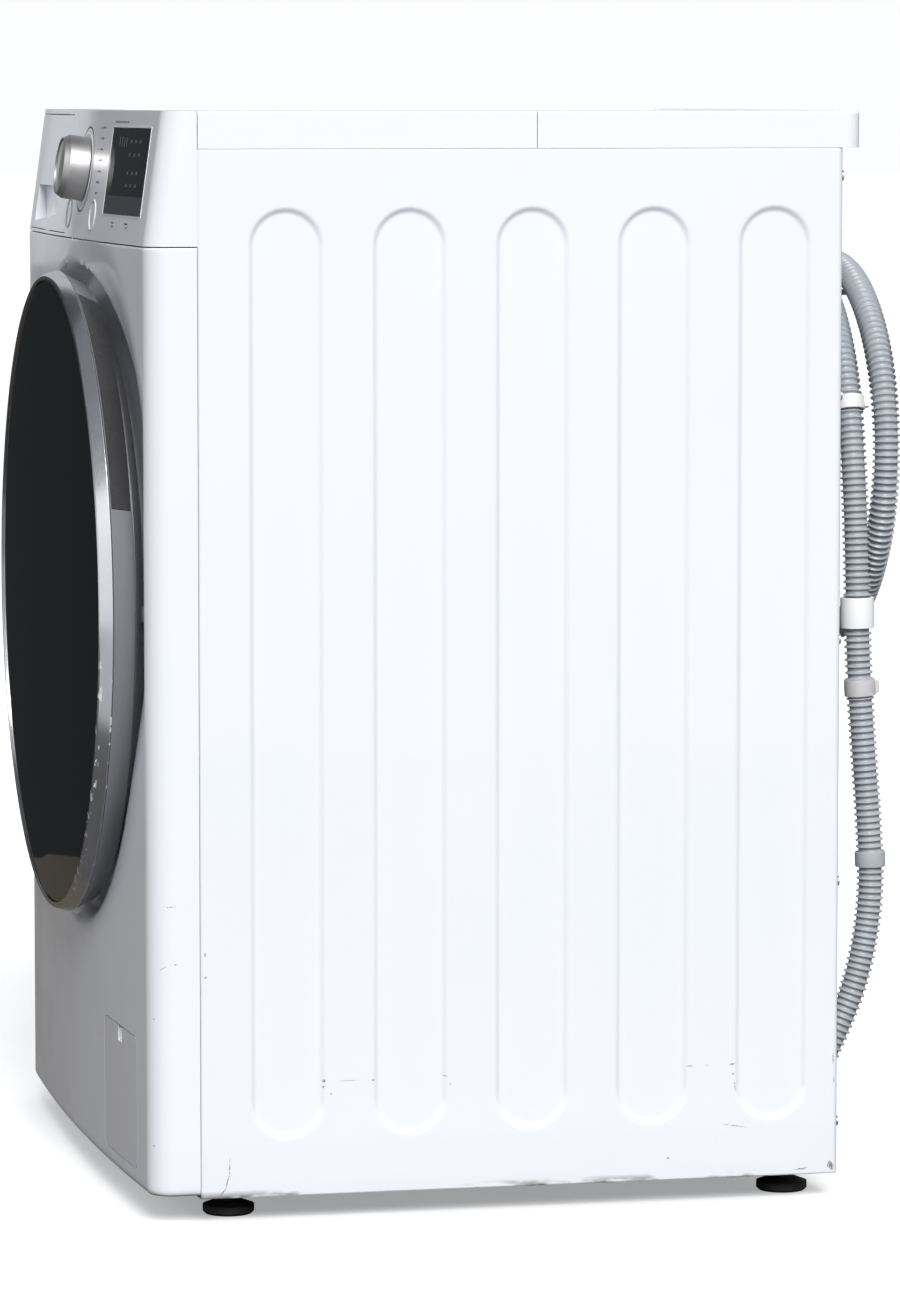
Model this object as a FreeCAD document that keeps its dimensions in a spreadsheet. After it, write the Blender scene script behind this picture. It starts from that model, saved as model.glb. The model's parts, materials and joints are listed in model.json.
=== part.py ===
import FreeCAD, Part
import Sketcher
import math
import os

os.makedirs("parts", exist_ok=True)
doc = FreeCAD.newDocument("front_load_washing_machine")
sheet = doc.addObject("Spreadsheet::Sheet", "Sizes")

# Frame: +Z up, front faces -Y, origin on the floor below the middle of the machine. Millimetres.


# ---------------------------------------------------------------- sizes

class Size:
    """A length that knows its number and the spreadsheet expression that gives it."""

    def __init__(self, value, text):
        self.value = value
        self.text = text

    def __add__(self, other):
        return Size(self.value + number(other), f"({self.text} + {text(other)})")

    def __radd__(self, other):
        return Size(number(other) + self.value, f"({text(other)} + {self.text})")

    def __sub__(self, other):
        return Size(self.value - number(other), f"({self.text} - {text(other)})")

    def __rsub__(self, other):
        return Size(number(other) - self.value, f"({text(other)} - {self.text})")

    def __mul__(self, other):
        return Size(self.value * number(other), f"({self.text} * {text(other)})")

    __rmul__ = __mul__

    def __truediv__(self, other):
        return Size(self.value / number(other), f"({self.text} / {text(other)})")

    def __neg__(self):
        return Size(-self.value, f"(0 - {self.text})")


def number(item):
    return item.value if isinstance(item, Size) else float(item)


def text(item):
    return item.text if isinstance(item, Size) else f"{item:.6f}"


def root(item):
    return Size(math.sqrt(item.value), f"sqrt({item.text})")


def size(name, value):
    """Write a driving dimension into the sheet and return it as a Size."""
    row = size.row = getattr(size, "row", 0) + 1
    sheet.set(f"A{row}", name)
    sheet.set(f"B{row}", str(value))
    sheet.setAlias(f"B{row}", name)
    return Size(float(value), f"Sizes.{name}")


width = size("width", 596)
height = size("height", 850)
seam_y = size("seam_y", -225)
side_depth = size("side_depth", 507)
side_bottom = size("side_bottom", 20)
side_top = size("side_top", 821.5)
sheet_metal = size("sheet_metal", 1)
gap = size("gap", 0.6)

rib_first = size("rib_first", 68)
rib_pitch = size("rib_pitch", 96)
rib_width = size("rib_width", 54)
rib_low = size("rib_low", 66.5)
rib_high = size("rib_high", 775)
rib_depth = size("rib_depth", 2.6)
rib_taper = size("rib_taper", 52)

crown_y = size("crown_y", -272.1)
bow_radius = size("bow_radius", 4994)
corner_radius = size("corner_radius", 19)
panel_bottom = size("panel_bottom", 22.4)
panel_top = size("panel_top", 747.2)
fascia_bottom = size("fascia_bottom", 748)
fascia_lean = size("fascia_lean", 14.2)
fascia_wall = size("fascia_wall", 2.5)

door_height = size("door_height", 464)
door_radius = size("door_radius", 258)
door_front = size("door_front", -297)
rim_front = size("rim_front", -294.5)
band_back = size("band_back", -283.4)
ring_back = size("ring_back", -265)
lens_radius = size("lens_radius", 8200)
ring_back_radius = size("ring_back_radius", 248.6)
grip_start = size("grip_start", 19)
grip_angle = size("grip_angle", 52)
seat_floor = size("seat_floor", -248)
seat_radius = size("seat_radius", 256)
opening_radius = size("opening_radius", 195)
dish_x = size("dish_x", 96.6)
dish_z = size("dish_z", 510.8)
dish_radius = size("dish_radius", 240)
hinge_x = size("hinge_x", -264)
hinge_y = size("hinge_y", -277)
hinge_pin_radius = size("hinge_pin_radius", 3)

tub_radius = size("tub_radius", 272)
tub_wall = size("tub_wall", 4)
tub_front_y = size("tub_front_y", -200)
tub_split_y = size("tub_split_y", -60)
tub_back_y = size("tub_back_y", 176)
drum_radius = size("drum_radius", 245)
drum_front_y = size("drum_front_y", -190)
drum_back_y = size("drum_back_y", 128)
drum_mouth = size("drum_mouth", 165)
shaft_radius = size("shaft_radius", 14.95)
pulley_radius = size("pulley_radius", 140)
pulley_y = size("pulley_y", 207)
motor_x = size("motor_x", -90)
motor_z = size("motor_z", 132)
motor_radius = size("motor_radius", 55)
motor_pulley_radius = size("motor_pulley_radius", 11)

knob_x = size("knob_x", 16)
knob_z = size("knob_z", 803)
knob_radius = size("knob_radius", 25.5)
knob_length = size("knob_length", 21.2)
button_radius = size("button_radius", 10.2)
start_x = size("start_x", 76.5)
power_x = size("power_x", -36)
button_z = size("button_z", 767.5)
display_left = size("display_left", 119)
display_right = size("display_right", 261)
display_low = size("display_low", 769.6)
display_high = size("display_high", 837)

drawer_left = size("drawer_left", -272)
drawer_low = size("drawer_low", 751)
drawer_high = size("drawer_high", 845.5)
drawer_seam_low = size("drawer_seam_low", -48.5)
drawer_seam_high = size("drawer_seam_high", -76.5)
drawer_back = size("drawer_back", -250)

flap_left = size("flap_left", 125)
flap_right = size("flap_right", 247.5)
flap_low = size("flap_low", 36)
flap_high = size("flap_high", 138.5)
flap_corner = size("flap_corner", 8)
flap_wall = size("flap_wall", 2.2)
flap_axis_y = size("flap_axis_y", -266.75)
flap_axis_z = size("flap_axis_z", 46)
pump_x = size("pump_x", 187)
pump_z = size("pump_z", 88)

trim_width = size("trim_width", 14)
trim_joint_y = size("trim_joint_y", 38.2)
trim_back_y = size("trim_back_y", 297)
foot_x = size("foot_x", 250)
foot_front_y = size("foot_front_y", -195)
foot_back_y = size("foot_back_y", 250)
hose_radius = size("hose_radius", 11)

half = width / 2
bolt_places = [(x, z) for x in (-150, 150) for z in (300, 630)]
rear_y = seam_y + side_depth
doc.recompute()


# ---------------------------------------------------------------- helpers

def bind(item, prop, value):
    """Give a property its number and, where the value comes from the sheet, its expression."""
    if isinstance(value, Size):
        item.setExpression(prop, value.text)
    else:
        setattr(item, prop, float(value))


def place(item, at=(0, 0, 0), turn=None):
    base = FreeCAD.Vector(*[number(value) for value in at])
    item.Placement = FreeCAD.Placement(base, turn or FreeCAD.Rotation())
    for axis, value in zip("xyz", at):
        if isinstance(value, Size):
            item.setExpression(f"Placement.Base.{axis}", value.text)
    return item


def turn_about(axis, angle):
    return FreeCAD.Rotation(FreeCAD.Vector(*axis), angle)


ALONG_Y = turn_about((1, 0, 0), -90)
ALONG_X = turn_about((0, 1, 0), 90)


def fill_sketch(sketch, corners=(), circles=()):
    """Draw a closed outline and circles, every corner and radius held by a constraint.

    A corner is (u, v) or (u, v, radius): the edge that leaves it is then an arc, its
    centre on the left of the way round, or on the right where the radius is negative.
    """
    ends = []
    count = len(corners)
    for i, corner in enumerate(corners):
        following = corners[(i + 1) % count]
        start = FreeCAD.Vector(number(corner[0]), number(corner[1]), 0)
        end = FreeCAD.Vector(number(following[0]), number(following[1]), 0)
        if len(corner) == 2:
            edge = sketch.addGeometry(Part.LineSegment(start, end), False)
            ends.append((edge, 1, 2))
            continue
        radius = abs(number(corner[2]))
        left = number(corner[2]) > 0
        chord = end - start
        middle = (start + end) * 0.5
        rise = math.sqrt(max(radius ** 2 - (chord.Length / 2) ** 2, 0))
        normal = FreeCAD.Vector(-chord.y, chord.x, 0).normalize()
        centre = middle + normal * (rise if left else -rise)
        first, last = (start, end) if left else (end, start)
        angles = [math.atan2(point.y - centre.y, point.x - centre.x) for point in (first, last)]
        circle = Part.Circle(centre, FreeCAD.Vector(0, 0, 1), radius)
        if angles[1] < angles[0]:
            angles[1] += 2 * math.pi
        edge = sketch.addGeometry(Part.ArcOfCircle(circle, *angles), False)
        ends.append((edge, 1, 2) if left else (edge, 2, 1))
    for i, corner in enumerate(corners):
        edge, first, last = ends[i]
        before = ends[i - 1]
        sketch.addConstraint(Sketcher.Constraint("Coincident", before[0], before[2], edge, first))
        for kind, value in (("DistanceX", corner[0]), ("DistanceY", corner[1])):
            index = sketch.addConstraint(Sketcher.Constraint(kind, -1, 1, edge, first, number(value)))
            if isinstance(value, Size):
                sketch.setExpression(f"Constraints[{index}]", value.text)
        if len(corner) == 3:
            radius = corner[2] if number(corner[2]) > 0 else -corner[2]
            index = sketch.addConstraint(Sketcher.Constraint("Radius", edge, number(radius)))
            if isinstance(radius, Size):
                sketch.setExpression(f"Constraints[{index}]", radius.text)
    for u, v, radius in circles:
        circle = Part.Circle(FreeCAD.Vector(number(u), number(v), 0), FreeCAD.Vector(0, 0, 1), number(radius))
        edge = sketch.addGeometry(circle, False)
        rows = (
            (Sketcher.Constraint("DistanceX", -1, 1, edge, 3, number(u)), u),
            (Sketcher.Constraint("DistanceY", -1, 1, edge, 3, number(v)), v),
            (Sketcher.Constraint("Radius", edge, number(radius)), radius),
        )
        for constraint, value in rows:
            index = sketch.addConstraint(constraint)
            if isinstance(value, Size):
                sketch.setExpression(f"Constraints[{index}]", value.text)
    return sketch


def new_body(label, at=(0, 0, 0), turn=None):
    body = doc.addObject("PartDesign::Body", label)
    body.Label = label
    return place(body, at, turn)


def sketch_in(body, plane, corners=(), circles=(), offset=0):
    """Sketch on one of the body's own origin planes: XY, XZ or YZ."""
    sketch = body.newObject("Sketcher::SketchObject", f"{body.Name}_sketch")
    support = next(item for item in body.Origin.OriginFeatures if item.Role == f"{plane}_Plane")
    sketch.AttachmentSupport = (support, [""])
    sketch.MapMode = "FlatFace"
    sketch.AttachmentOffset = FreeCAD.Placement(FreeCAD.Vector(0, 0, number(offset)), FreeCAD.Rotation())
    if isinstance(offset, Size):
        sketch.setExpression("AttachmentOffset.Base.z", offset.text)
    fill_sketch(sketch, corners, circles)
    doc.recompute()
    return sketch


def feature(body, kind, sketch, **values):
    """Add a PartDesign feature and make sure that it adds or removes material as it should."""
    before = body.Shape.Volume if not body.Shape.isNull() else 0.0
    item = body.newObject(f"PartDesign::{kind}", f"{body.Name}_{kind}")
    item.Profile = sketch
    for prop, value in values.items():
        if isinstance(value, Size):
            bind(item, prop, value)
        else:
            setattr(item, prop, value)
    doc.recompute()
    grows = kind in ("Pad", "Revolution")
    change = body.Shape.Volume - before
    if (change > 0) != grows:
        raise RuntimeError(f"{body.Label}: {kind} changed the volume by {change:.1f}")
    sketch.Visibility = False
    return item


def turned(label, profile, at=(0, 0, 0), plane="XY", angle=360, turn=None):
    """A turned piece: its half section spins about the body's own Y axis (XY) or Z axis (XZ)."""
    body = new_body(label, at, turn)
    sketch = sketch_in(body, plane, profile)
    feature(body, "Revolution", sketch, ReferenceAxis=(sketch, ["V_Axis"]), Angle=angle)
    return body


def turned_y(label, profile, x=0, z=0, **others):
    return turned(label, profile, at=(x, 0, z), **others)


def box(name, low, high):
    item = doc.addObject("Part::Box", name)
    place(item, low)
    for prop, a, b in zip(("Length", "Width", "Height"), low, high):
        bind(item, prop, b - a)
    return item


def rod(name, radius, length, at, turn=None):
    item = doc.addObject("Part::Cylinder", name)
    bind(item, "Radius", radius)
    bind(item, "Height", length)
    return place(item, at, turn)


def cone(name, low_radius, high_radius, length, at, turn=None):
    item = doc.addObject("Part::Cone", name)
    bind(item, "Radius1", low_radius)
    bind(item, "Radius2", high_radius)
    bind(item, "Height", length)
    return place(item, at, turn)


def cut(label, base, *tools):
    """Take one or more tools away from a base."""
    tool = tools[0]
    if len(tools) > 1:
        tool = doc.addObject("Part::MultiFuse", f"{label}_tools")
        tool.Shapes = list(tools)
    item = doc.addObject("Part::Cut", label)
    item.Base = base
    item.Tool = tool
    item.Label = label
    return item


def common(label, base, tool):
    item = doc.addObject("Part::Common", label)
    item.Base = base
    item.Tool = tool
    item.Label = label
    return item


def joined(label, *pieces):
    item = doc.addObject("Part::MultiFuse", label)
    item.Shapes = list(pieces)
    item.Label = label
    return item


def group(label, *pieces):
    """Identical or matching solids that share one node."""
    item = doc.addObject("Part::Compound", label)
    item.Links = list(pieces)
    item.Label = label
    return item


def prism(name, plane, corners, start, length):
    """A sketch outline drawn straight out: up from a floor plan, or back from a front view."""
    sketch = doc.addObject("Sketcher::SketchObject", f"{name}_outline")
    if plane == "XY":
        place(sketch, (0, 0, start))
        direction = FreeCAD.Vector(0, 0, 1)
    else:
        place(sketch, (0, start, 0), turn_about((1, 0, 0), 90))
        direction = FreeCAD.Vector(0, 1, 0)
    fill_sketch(sketch, corners)
    item = doc.addObject("Part::Extrusion", name)
    item.Base = sketch
    item.DirMode = "Custom"
    item.Dir = direction
    bind(item, "LengthFwd", length)
    item.Solid = True
    item.Label = name
    return item


def rectangle(u0, v0, u1, v1):
    return [(u0, v0), (u1, v0), (u1, v1), (u0, v1)]


def rounded(u0, v0, u1, v1, radius):
    """A rectangle with round corners, anticlockwise."""
    return [
        (u0 + radius, v0), (u1 - radius, v0, radius), (u1, v0 + radius), (u1, v1 - radius, radius),
        (u1 - radius, v1), (u0 + radius, v1, radius), (u0, v1 - radius), (u0, v0 + radius, radius),
    ]


def front_outline(inset, lean=0):
    """Half of the floor plan of the bowed front, right rear to left rear, set in by a wall."""
    run = bow_radius - corner_radius
    corner_x = half - corner_radius
    drop = root(run * run - corner_x * corner_x)
    corner_y = crown_y + bow_radius - drop + lean
    radius = corner_radius - inset
    touch_x = corner_x + radius * corner_x / run
    touch_y = corner_y - radius * drop / run
    side_x = half - inset
    return [
        (side_x, seam_y), (side_x, corner_y, -radius), (touch_x, touch_y, -(bow_radius - inset)),
        (-touch_x, touch_y, -radius), (-side_x, corner_y), (-side_x, seam_y),
    ]


def front_surface(x, z):
    """Y of the front surface, for pieces that sit on it; the fascia leans back above its seam."""
    bow = number(x) ** 2 / (2 * bow_radius.value)
    lean = max(number(z) - fascia_bottom.value, 0) / (height.value - fascia_bottom.value)
    return crown_y.value + bow + lean * fascia_lean.value


# ---------------------------------------------------------------- cabinet

def side_panel(label, side):
    """Pressed steel side with turned-in edges and five upright ribs pressed inward."""
    body = new_body(label, (half * side, seam_y, 0))
    metal = sheet_metal * side
    front_lip = 24 * side
    rear_lip = 17 * side
    section = [
        (0, 0), (0, side_depth), (-rear_lip, side_depth), (-rear_lip, side_depth - sheet_metal),
        (-metal, side_depth - sheet_metal), (-metal, sheet_metal), (-front_lip, sheet_metal), (-front_lip, 0),
    ]
    plan = sketch_in(body, "XY", section, offset=side_bottom)
    feature(body, "Pad", plan, Length=side_top - side_bottom)
    floor_lip = sketch_in(body, "XY", rectangle(-20 * side, sheet_metal, -metal, side_depth - sheet_metal),
                          offset=side_bottom)
    feature(body, "Pad", floor_lip, Length=sheet_metal)

    def ribs(grow):
        r = rib_width / 2 + grow
        for i in range(5):
            middle = rib_first + rib_pitch * i
            yield [
                (middle, rib_low - grow, r), (middle + r, rib_low - grow + r), (middle + r, rib_high + grow - r, r),
                (middle, rib_high + grow, r), (middle - r, rib_high + grow - r), (middle - r, rib_low - grow + r, r),
            ]

    for outline in ribs(sheet_metal * 0.9):
        sketch = sketch_in(body, "YZ", outline)
        feature(body, "Pad", sketch, Length=rib_depth + sheet_metal, Reversed=side > 0, TaperAngle=-rib_taper)
    for outline in ribs(0):
        sketch = sketch_in(body, "YZ", outline)
        feature(body, "Pocket", sketch, Length=rib_depth, Reversed=side < 0, TaperAngle=-rib_taper)
    return body


def rear_panel():
    body = new_body("rear_panel")
    plate = sketch_in(body, "XZ", rectangle(2 - half, 24, half - 2, side_top - 1), offset=sheet_metal - rear_y)
    feature(body, "Pad", plate, Length=sheet_metal)
    holes = [(0, door_height, 160), (-190, 780, 18), (200, 780, 8)]
    holes += [(x, z, 9) for x, z in bolt_places]
    for circle in holes:
        hole = sketch_in(body, "XZ", circles=[circle])
        feature(body, "Pocket", hole, Type="ThroughAll", Midplane=True)
    slot = sketch_in(body, "XZ", rounded(250, 84, 278, 140, 8))
    feature(body, "Pocket", slot, Type="ThroughAll", Midplane=True)
    return body


def rear_service_cover():
    """Dished round cover over the pulley."""
    face = rear_y
    profile = [(0, face + 3), (148, face + 3), (154, face), (170, face), (170, face - 1), (153, face - 1),
               (147, face + 2), (0, face + 2)]
    return turned_y("rear_service_cover", profile, z=door_height)


def base_tray():
    body = new_body("base_tray")
    inner = half - sheet_metal - 1
    outline = sketch_in(body, "XY", rectangle(-inner, seam_y + 3, inner, rear_y - 3), offset=side_bottom + 1.2)
    feature(body, "Pad", outline, Length=28)
    hollow = sketch_in(body, "XY", rectangle(3 - inner, seam_y + 6, inner - 3, rear_y - 6), offset=side_bottom + 50)
    feature(body, "Pocket", hollow, Length=45.5)
    for x in (-foot_x, foot_x):
        for y in (foot_front_y, foot_back_y):
            hole = sketch_in(body, "XY", circles=[(x, y, 5.4)])
            feature(body, "Pocket", hole, Type="ThroughAll", Midplane=True)
    return body


def cross_bars():
    """Two folded steel bars that tie the side panels together under the top."""
    bars = []
    inner = half - sheet_metal - 1
    for name, y in (("front", -206), ("rear", 236)):
        blank = box(f"bar_{name}_blank", (-inner, y, 801), (inner, y + 40, 820))
        hollow = box(f"bar_{name}_hollow", (-half, y + 1.5, 800), (half, y + 38.5, 818.5))
        bars.append(cut(f"bar_{name}", blank, hollow))
    return group("cross_bars", *bars)


def top_trims():
    """Plastic edge frame of the top in two halves, with a joint in each side."""
    outer = half
    inner = half - trim_width
    front_plan = [
        (outer, seam_y + 0.5), (outer, trim_joint_y), (inner, trim_joint_y), (inner, seam_y + trim_width),
        (-inner, seam_y + trim_width), (-inner, trim_joint_y), (-outer, trim_joint_y), (-outer, seam_y + 0.5),
    ]
    r = trim_width - 2
    back = trim_back_y
    rear_start = trim_joint_y + 0.6
    rear_plan = [
        (outer, rear_start), (outer, back - r, r), (outer - r, back), (-outer + r, back, r), (-outer, back - r),
        (-outer, rear_start), (-inner, rear_start), (-inner, back - trim_width), (inner, back - trim_width),
        (inner, rear_start),
    ]
    pieces = []
    for label, plan in (("top_trim_front", front_plan), ("top_trim_rear", rear_plan)):
        body = new_body(label)
        sketch = sketch_in(body, "XY", plan, offset=side_top)
        pad = feature(body, "Pad", sketch, Length=height - side_top)
        edges = []
        for i, edge in enumerate(pad.Shape.Edges):
            box_ = edge.BoundBox
            on_top = box_.ZMin > height.value - 0.01
            on_side = min(abs(box_.XMin), abs(box_.XMax)) > outer.value - trim_width.value + 0.01
            on_back = box_.YMin > back.value - r.value - 0.01
            if on_top and (on_side or on_back) and edge.Length > 5 and box_.YMax > seam_y.value + 5:
                if not (abs(box_.YMax - box_.YMin) < 0.01 and not on_back):
                    edges.append(f"Edge{i + 1}")
        fillet = body.newObject("PartDesign::Fillet", f"{label}_fillet")
        fillet.Base = (pad, edges)
        fillet.Radius = 2.5
        doc.recompute()
        pieces.append(body)
    return pieces


def top_board():
    body = new_body("top_board")
    edge = half - trim_width - 0.3
    plan = rectangle(-edge, seam_y + trim_width + 0.3, edge, trim_back_y - trim_width - 0.3)
    sketch = sketch_in(body, "XY", plan, offset=side_top + 6.5)
    feature(body, "Pad", sketch, Length=21)
    return body


def feet():
    """Four levelling feet: rubber-faced disc, hexagon collar and threaded stud."""
    profile = [(0, 0), (18, 0), (20, 2), (20, 7), (12, 10), (5, 10), (5, 42), (0, 42)]
    names = []
    for end, y in (("front", foot_front_y), ("rear", foot_back_y)):
        for side, x in (("left", -foot_x), ("right", foot_x)):
            names.append(turned(f"foot_{end}_{side}", profile, at=(x, y, 0), plane="XZ"))
    return names


def front_tools(grow):
    """Door seat and finger dish in the front panel, grown by the wall for its inner face."""
    start = crown_y - 6
    floor = seat_floor + grow
    length = floor - start
    seat = cone("seat_cone", seat_radius + 11 + grow, seat_radius + grow, length, (0, start, door_height), ALONG_Y)
    dish = cone("dish_cone", dish_radius + 8 + grow, dish_radius - 40 + grow, length, (dish_x, start, dish_z), ALONG_Y)
    slope = [(-100, start), (296 + grow, start), (278 + grow, crown_y + 7), (250 + grow, floor), (-100, floor)]
    side_wall = prism("dish_side", "XY", slope, 200, 600)
    return joined("seat_and_dish", seat, common("dish", dish, side_wall))


def front_blanks():
    """Filled outer and inner shapes of the lower front, used by the panel and its flap."""
    outer = prism("front_outer", "XY", front_outline(0), panel_bottom, panel_top - panel_bottom)
    inner = prism("front_inner", "XY", front_outline(sheet_metal), 0, height)
    return outer, inner


def flap_outline(grow):
    return rounded(flap_left - grow, flap_low - grow, flap_right + grow, flap_high + grow, flap_corner + grow)


def front_panel(outer, inner):
    shell_out = cut("front_shaped", outer, front_tools(0))
    shell_in = cut("front_cavity", inner, front_tools(sheet_metal))
    mouth = rod("mouth_hole", opening_radius, 60, (0, -280, door_height), ALONG_Y)
    flap_hole = prism("flap_hole", "XZ", flap_outline(gap + 0.2), -290, 60)
    hook_slot = box("hook_slot", (208, -260, door_height - 12), (232, -240, door_height + 12))
    return cut("front_panel", shell_out, shell_in, mouth, flap_hole, hook_slot)


def service_flap(outer):
    """Small door low at the right of the front, with a hinge roll along its lower part."""
    thin = prism("flap_inner", "XY", front_outline(flap_wall), 0, height)
    wall = cut("flap_wall", outer, thin)
    region = prism("flap_region", "XZ", flap_outline(0), -290, 60)
    plate = common("flap_plate", wall, region)
    middle = (flap_left + flap_right) / 2
    notch = box("flap_notch", (middle - 7, -275, flap_high - 12), (middle + 7, -260, flap_high + 2))
    latch = box("flap_latch_plate", (middle - 6.6, front_surface(middle, 0) + 1.2, flap_high - 14),
                (middle + 6.6, front_surface(middle, 0) + 3.4, flap_high - 1.5))
    slant = math.atan2(middle.value, bow_radius.value)
    reach = (flap_right.value - flap_left.value) / 2 - 3
    start = (middle - reach * math.cos(slant), flap_axis_y - reach * math.sin(slant), flap_axis_z)
    roll = rod("flap_hinge_roll", 1.4, 2 * reach, start, turn_about((0, 0, 1), math.degrees(slant)).multiply(ALONG_X))
    return joined("service_flap", cut("flap_notched", plate, notch), latch, roll)


# ---------------------------------------------------------------- control panel

def fascia_loft(name, inset, top):
    """The leaning control panel as a filled shape, its wall set in by the inset."""
    sections = []
    low_z = fascia_bottom if inset == 0 else fascia_bottom - 5
    rise = height - fascia_bottom
    for end, z in (("low", low_z), ("high", top)):
        lean = (z - fascia_bottom) * fascia_lean / rise
        sketch = doc.addObject("Sketcher::SketchObject", f"{name}_{end}")
        place(sketch, (0, 0, z))
        fill_sketch(sketch, front_outline(inset, lean))
        sections.append(sketch)
    loft = doc.addObject("Part::Loft", name)
    loft.Sections = sections
    loft.Solid = True
    loft.Ruled = True
    return loft


LEAN_ANGLE = math.degrees(math.atan2(fascia_lean.value, height.value - fascia_bottom.value))
NORMAL = turn_about((1, 0, 0), -LEAN_ANGLE)


def on_fascia(x, z):
    """A point on the leaning front surface."""
    return (x, front_surface(x, z), z)


def button_hole(name, x, radius, depth):
    start = FreeCAD.Vector(*[number(v) for v in on_fascia(x, button_z)])
    start = start + NORMAL.multVec(FreeCAD.Vector(0, -10, 0))
    return rod(name, radius, 10 + depth, (x, start.y, start.z), NORMAL.multiply(ALONG_Y))


def drawer_region(name, grow):
    corners = [
        (drawer_left - grow, drawer_low - grow), (drawer_seam_low + grow, drawer_low - grow),
        (drawer_seam_high + grow, drawer_high + grow), (drawer_left - grow, drawer_high + grow),
    ]
    return prism(name, "XZ", corners, -290, drawer_back + 290 + grow)


def control_panel():
    solid = fascia_loft("fascia_outer", 0, height)
    hollow = fascia_loft("fascia_hollow", fascia_wall, height - fascia_wall)
    shell = cut("fascia_shell", solid, hollow)
    display_hole = prism("display_hole", "XZ", rectangle(display_left, display_low, display_right, display_high),
                         -290, 60)
    knob_hole = rod("knob_hole", 7, 40, (knob_x, -280, knob_z), ALONG_Y)
    fascia = cut("control_fascia", shell, drawer_region("drawer_opening", gap), display_hole, knob_hole,
                 button_hole("start_hole", start_x, button_radius + 0.4, 12),
                 button_hole("power_hole", power_x, button_radius + 0.4, 12))
    window_region = prism("window_region", "XZ",
                          rectangle(display_left + 0.3, display_low + 0.3, display_right - 0.3, display_high - 0.3),
                          -290, 60)
    window = common("display_window", shell, window_region)
    buttons = [
        common("start_button", solid, button_hole("start_blank", start_x, button_radius, 9)),
        common("power_button", solid, button_hole("power_blank", power_x, button_radius, 9)),
    ]
    front_block = common("drawer_front_block", solid, drawer_region("drawer_region", 0))
    scoop = prism("scoop", "XZ", [(-248, 757), (-112, 764), (-98, 771), (-150, 787), (-248, 787)], -290,
                  number(drawer_back) + 290 - 5)
    drawer_front = cut("drawer_front", front_block, scoop)
    return [fascia, window, *buttons, drawer_front]


def knob():
    at = on_fascia(knob_x, knob_z)
    r = knob_radius
    profile = [
        (0, 2.8 - knob_length), (r - 4.1, 2.8 - knob_length), (r - 4.1, -knob_length), (r - 3, -knob_length),
        (r - 0.5, 4.4 - knob_length), (r, 5.2 - knob_length), (r, -0.8), (r - 3, -0.8), (r - 3, 5.6 - knob_length),
        (5.5, 5.6 - knob_length), (5.5, 8), (0, 8),
    ]
    cap = [(0, 0.3 - knob_length), (r - 4.3, 0.9 - knob_length), (r - 4.3, 2.6 - knob_length), (0, 2.6 - knob_length)]
    return [turned("knob", profile, at=at, turn=NORMAL), turned("knob_cap", cap, at=at, turn=NORMAL)]


def control_board():
    """Circuit board behind the fascia with the knob's encoder and two push switches."""
    board = box("board_plate", (40, -244, 758), (272, -241, 796))
    upper = box("board_upper", (90, -240, 790), (272, -237, 838))
    encoder = rod("encoder", 11, 13, (knob_x, -252, knob_z + 2), ALONG_Y)
    return group("control_board", board, upper, encoder)


def detergent_drawer():
    tray = new_body("drawer_tray")
    outline = sketch_in(tray, "XY", rectangle(-255, drawer_back + 0.2, -73, -12), offset=758)
    feature(tray, "Pad", outline, Length=36)
    for left, right in ((-252, -195), (-192, -135), (-132, -76)):
        hollow = sketch_in(tray, "XY", rounded(left, -246, right, -16, 6), offset=761)
        feature(tray, "Pocket", hollow, Length=40, Reversed=True)
    housing = new_body("drawer_housing")
    outline = sketch_in(housing, "XZ", rectangle(-262, 752, -66, 799), offset=248)
    feature(housing, "Pad", outline, Length=268, Reversed=True)
    hollow = sketch_in(housing, "XZ", rectangle(-259.5, 755, -68.5, 796.5), offset=249)
    feature(housing, "Pocket", hollow, Length=266)
    return [tray, housing]


# ---------------------------------------------------------------- door

def door():
    r = door_radius
    z = door_height
    rim = [
        (r - 8, rim_front), (r - 4.6, rim_front), (r - 3.4, rim_front + 0.9), (r, rim_front + 10.1),
        (r - 0.8, band_back), (r - 8, band_back),
    ]
    ring = [
        (205, -289), (r - 8.4, -289), (r - 8.4, band_back + 0.2), (r - 1, band_back + 0.2),
        (ring_back_radius, ring_back - 1), (ring_back_radius - 1.6, ring_back), (205, ring_back),
    ]
    grip = [
        (238, band_back + 1.2), (r - 1.6, band_back + 1.2), (ring_back_radius - 0.3, ring_back - 0.9), (238, ring_back - 0.9),
    ]
    lens = [
        (0, door_front, lens_radius), (r - 8.6, -293.2), (r - 8.6, -289.4, -lens_radius), (0, door_front + 3.8),
    ]
    bowl = [
        (0, -165), (118, -165), (131, -176), (157, -271), (203, -271), (203, -276), (152, -276), (126, -180),
        (115, -171), (0, -171),
    ]
    inner = [
        (160, -270.6), (204.4, -270.6), (204.4, ring_back + 0.2), (228, ring_back + 0.2), (228, -261), (215, -253),
        (160, -253),
    ]
    start = turn_about((0, 1, 0), -(grip_start.value + grip_angle.value))
    early = turn_about((0, 1, 0), -(grip_start.value + grip_angle.value + 0.1))
    slot = [(237.8, band_back + 1), (r + 2, band_back + 1), (r + 2, ring_back + 2), (237.8, ring_back + 2)]
    ring_blank = turned_y("door_ring_blank", ring, z=z)
    grip_slot = turned_y("grip_slot", slot, z=z, angle=grip_angle + 0.2, turn=early)
    return [
        turned_y("door_rim", rim, z=z),
        cut("door_ring", ring_blank, grip_slot),
        turned_y("door_grip", grip, z=z, angle=grip_angle, turn=start),
        turned_y("door_lens", lens, z=z),
        turned_y("door_bowl", bowl, z=z),
        turned_y("door_inner_frame", inner, z=z),
    ]


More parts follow.
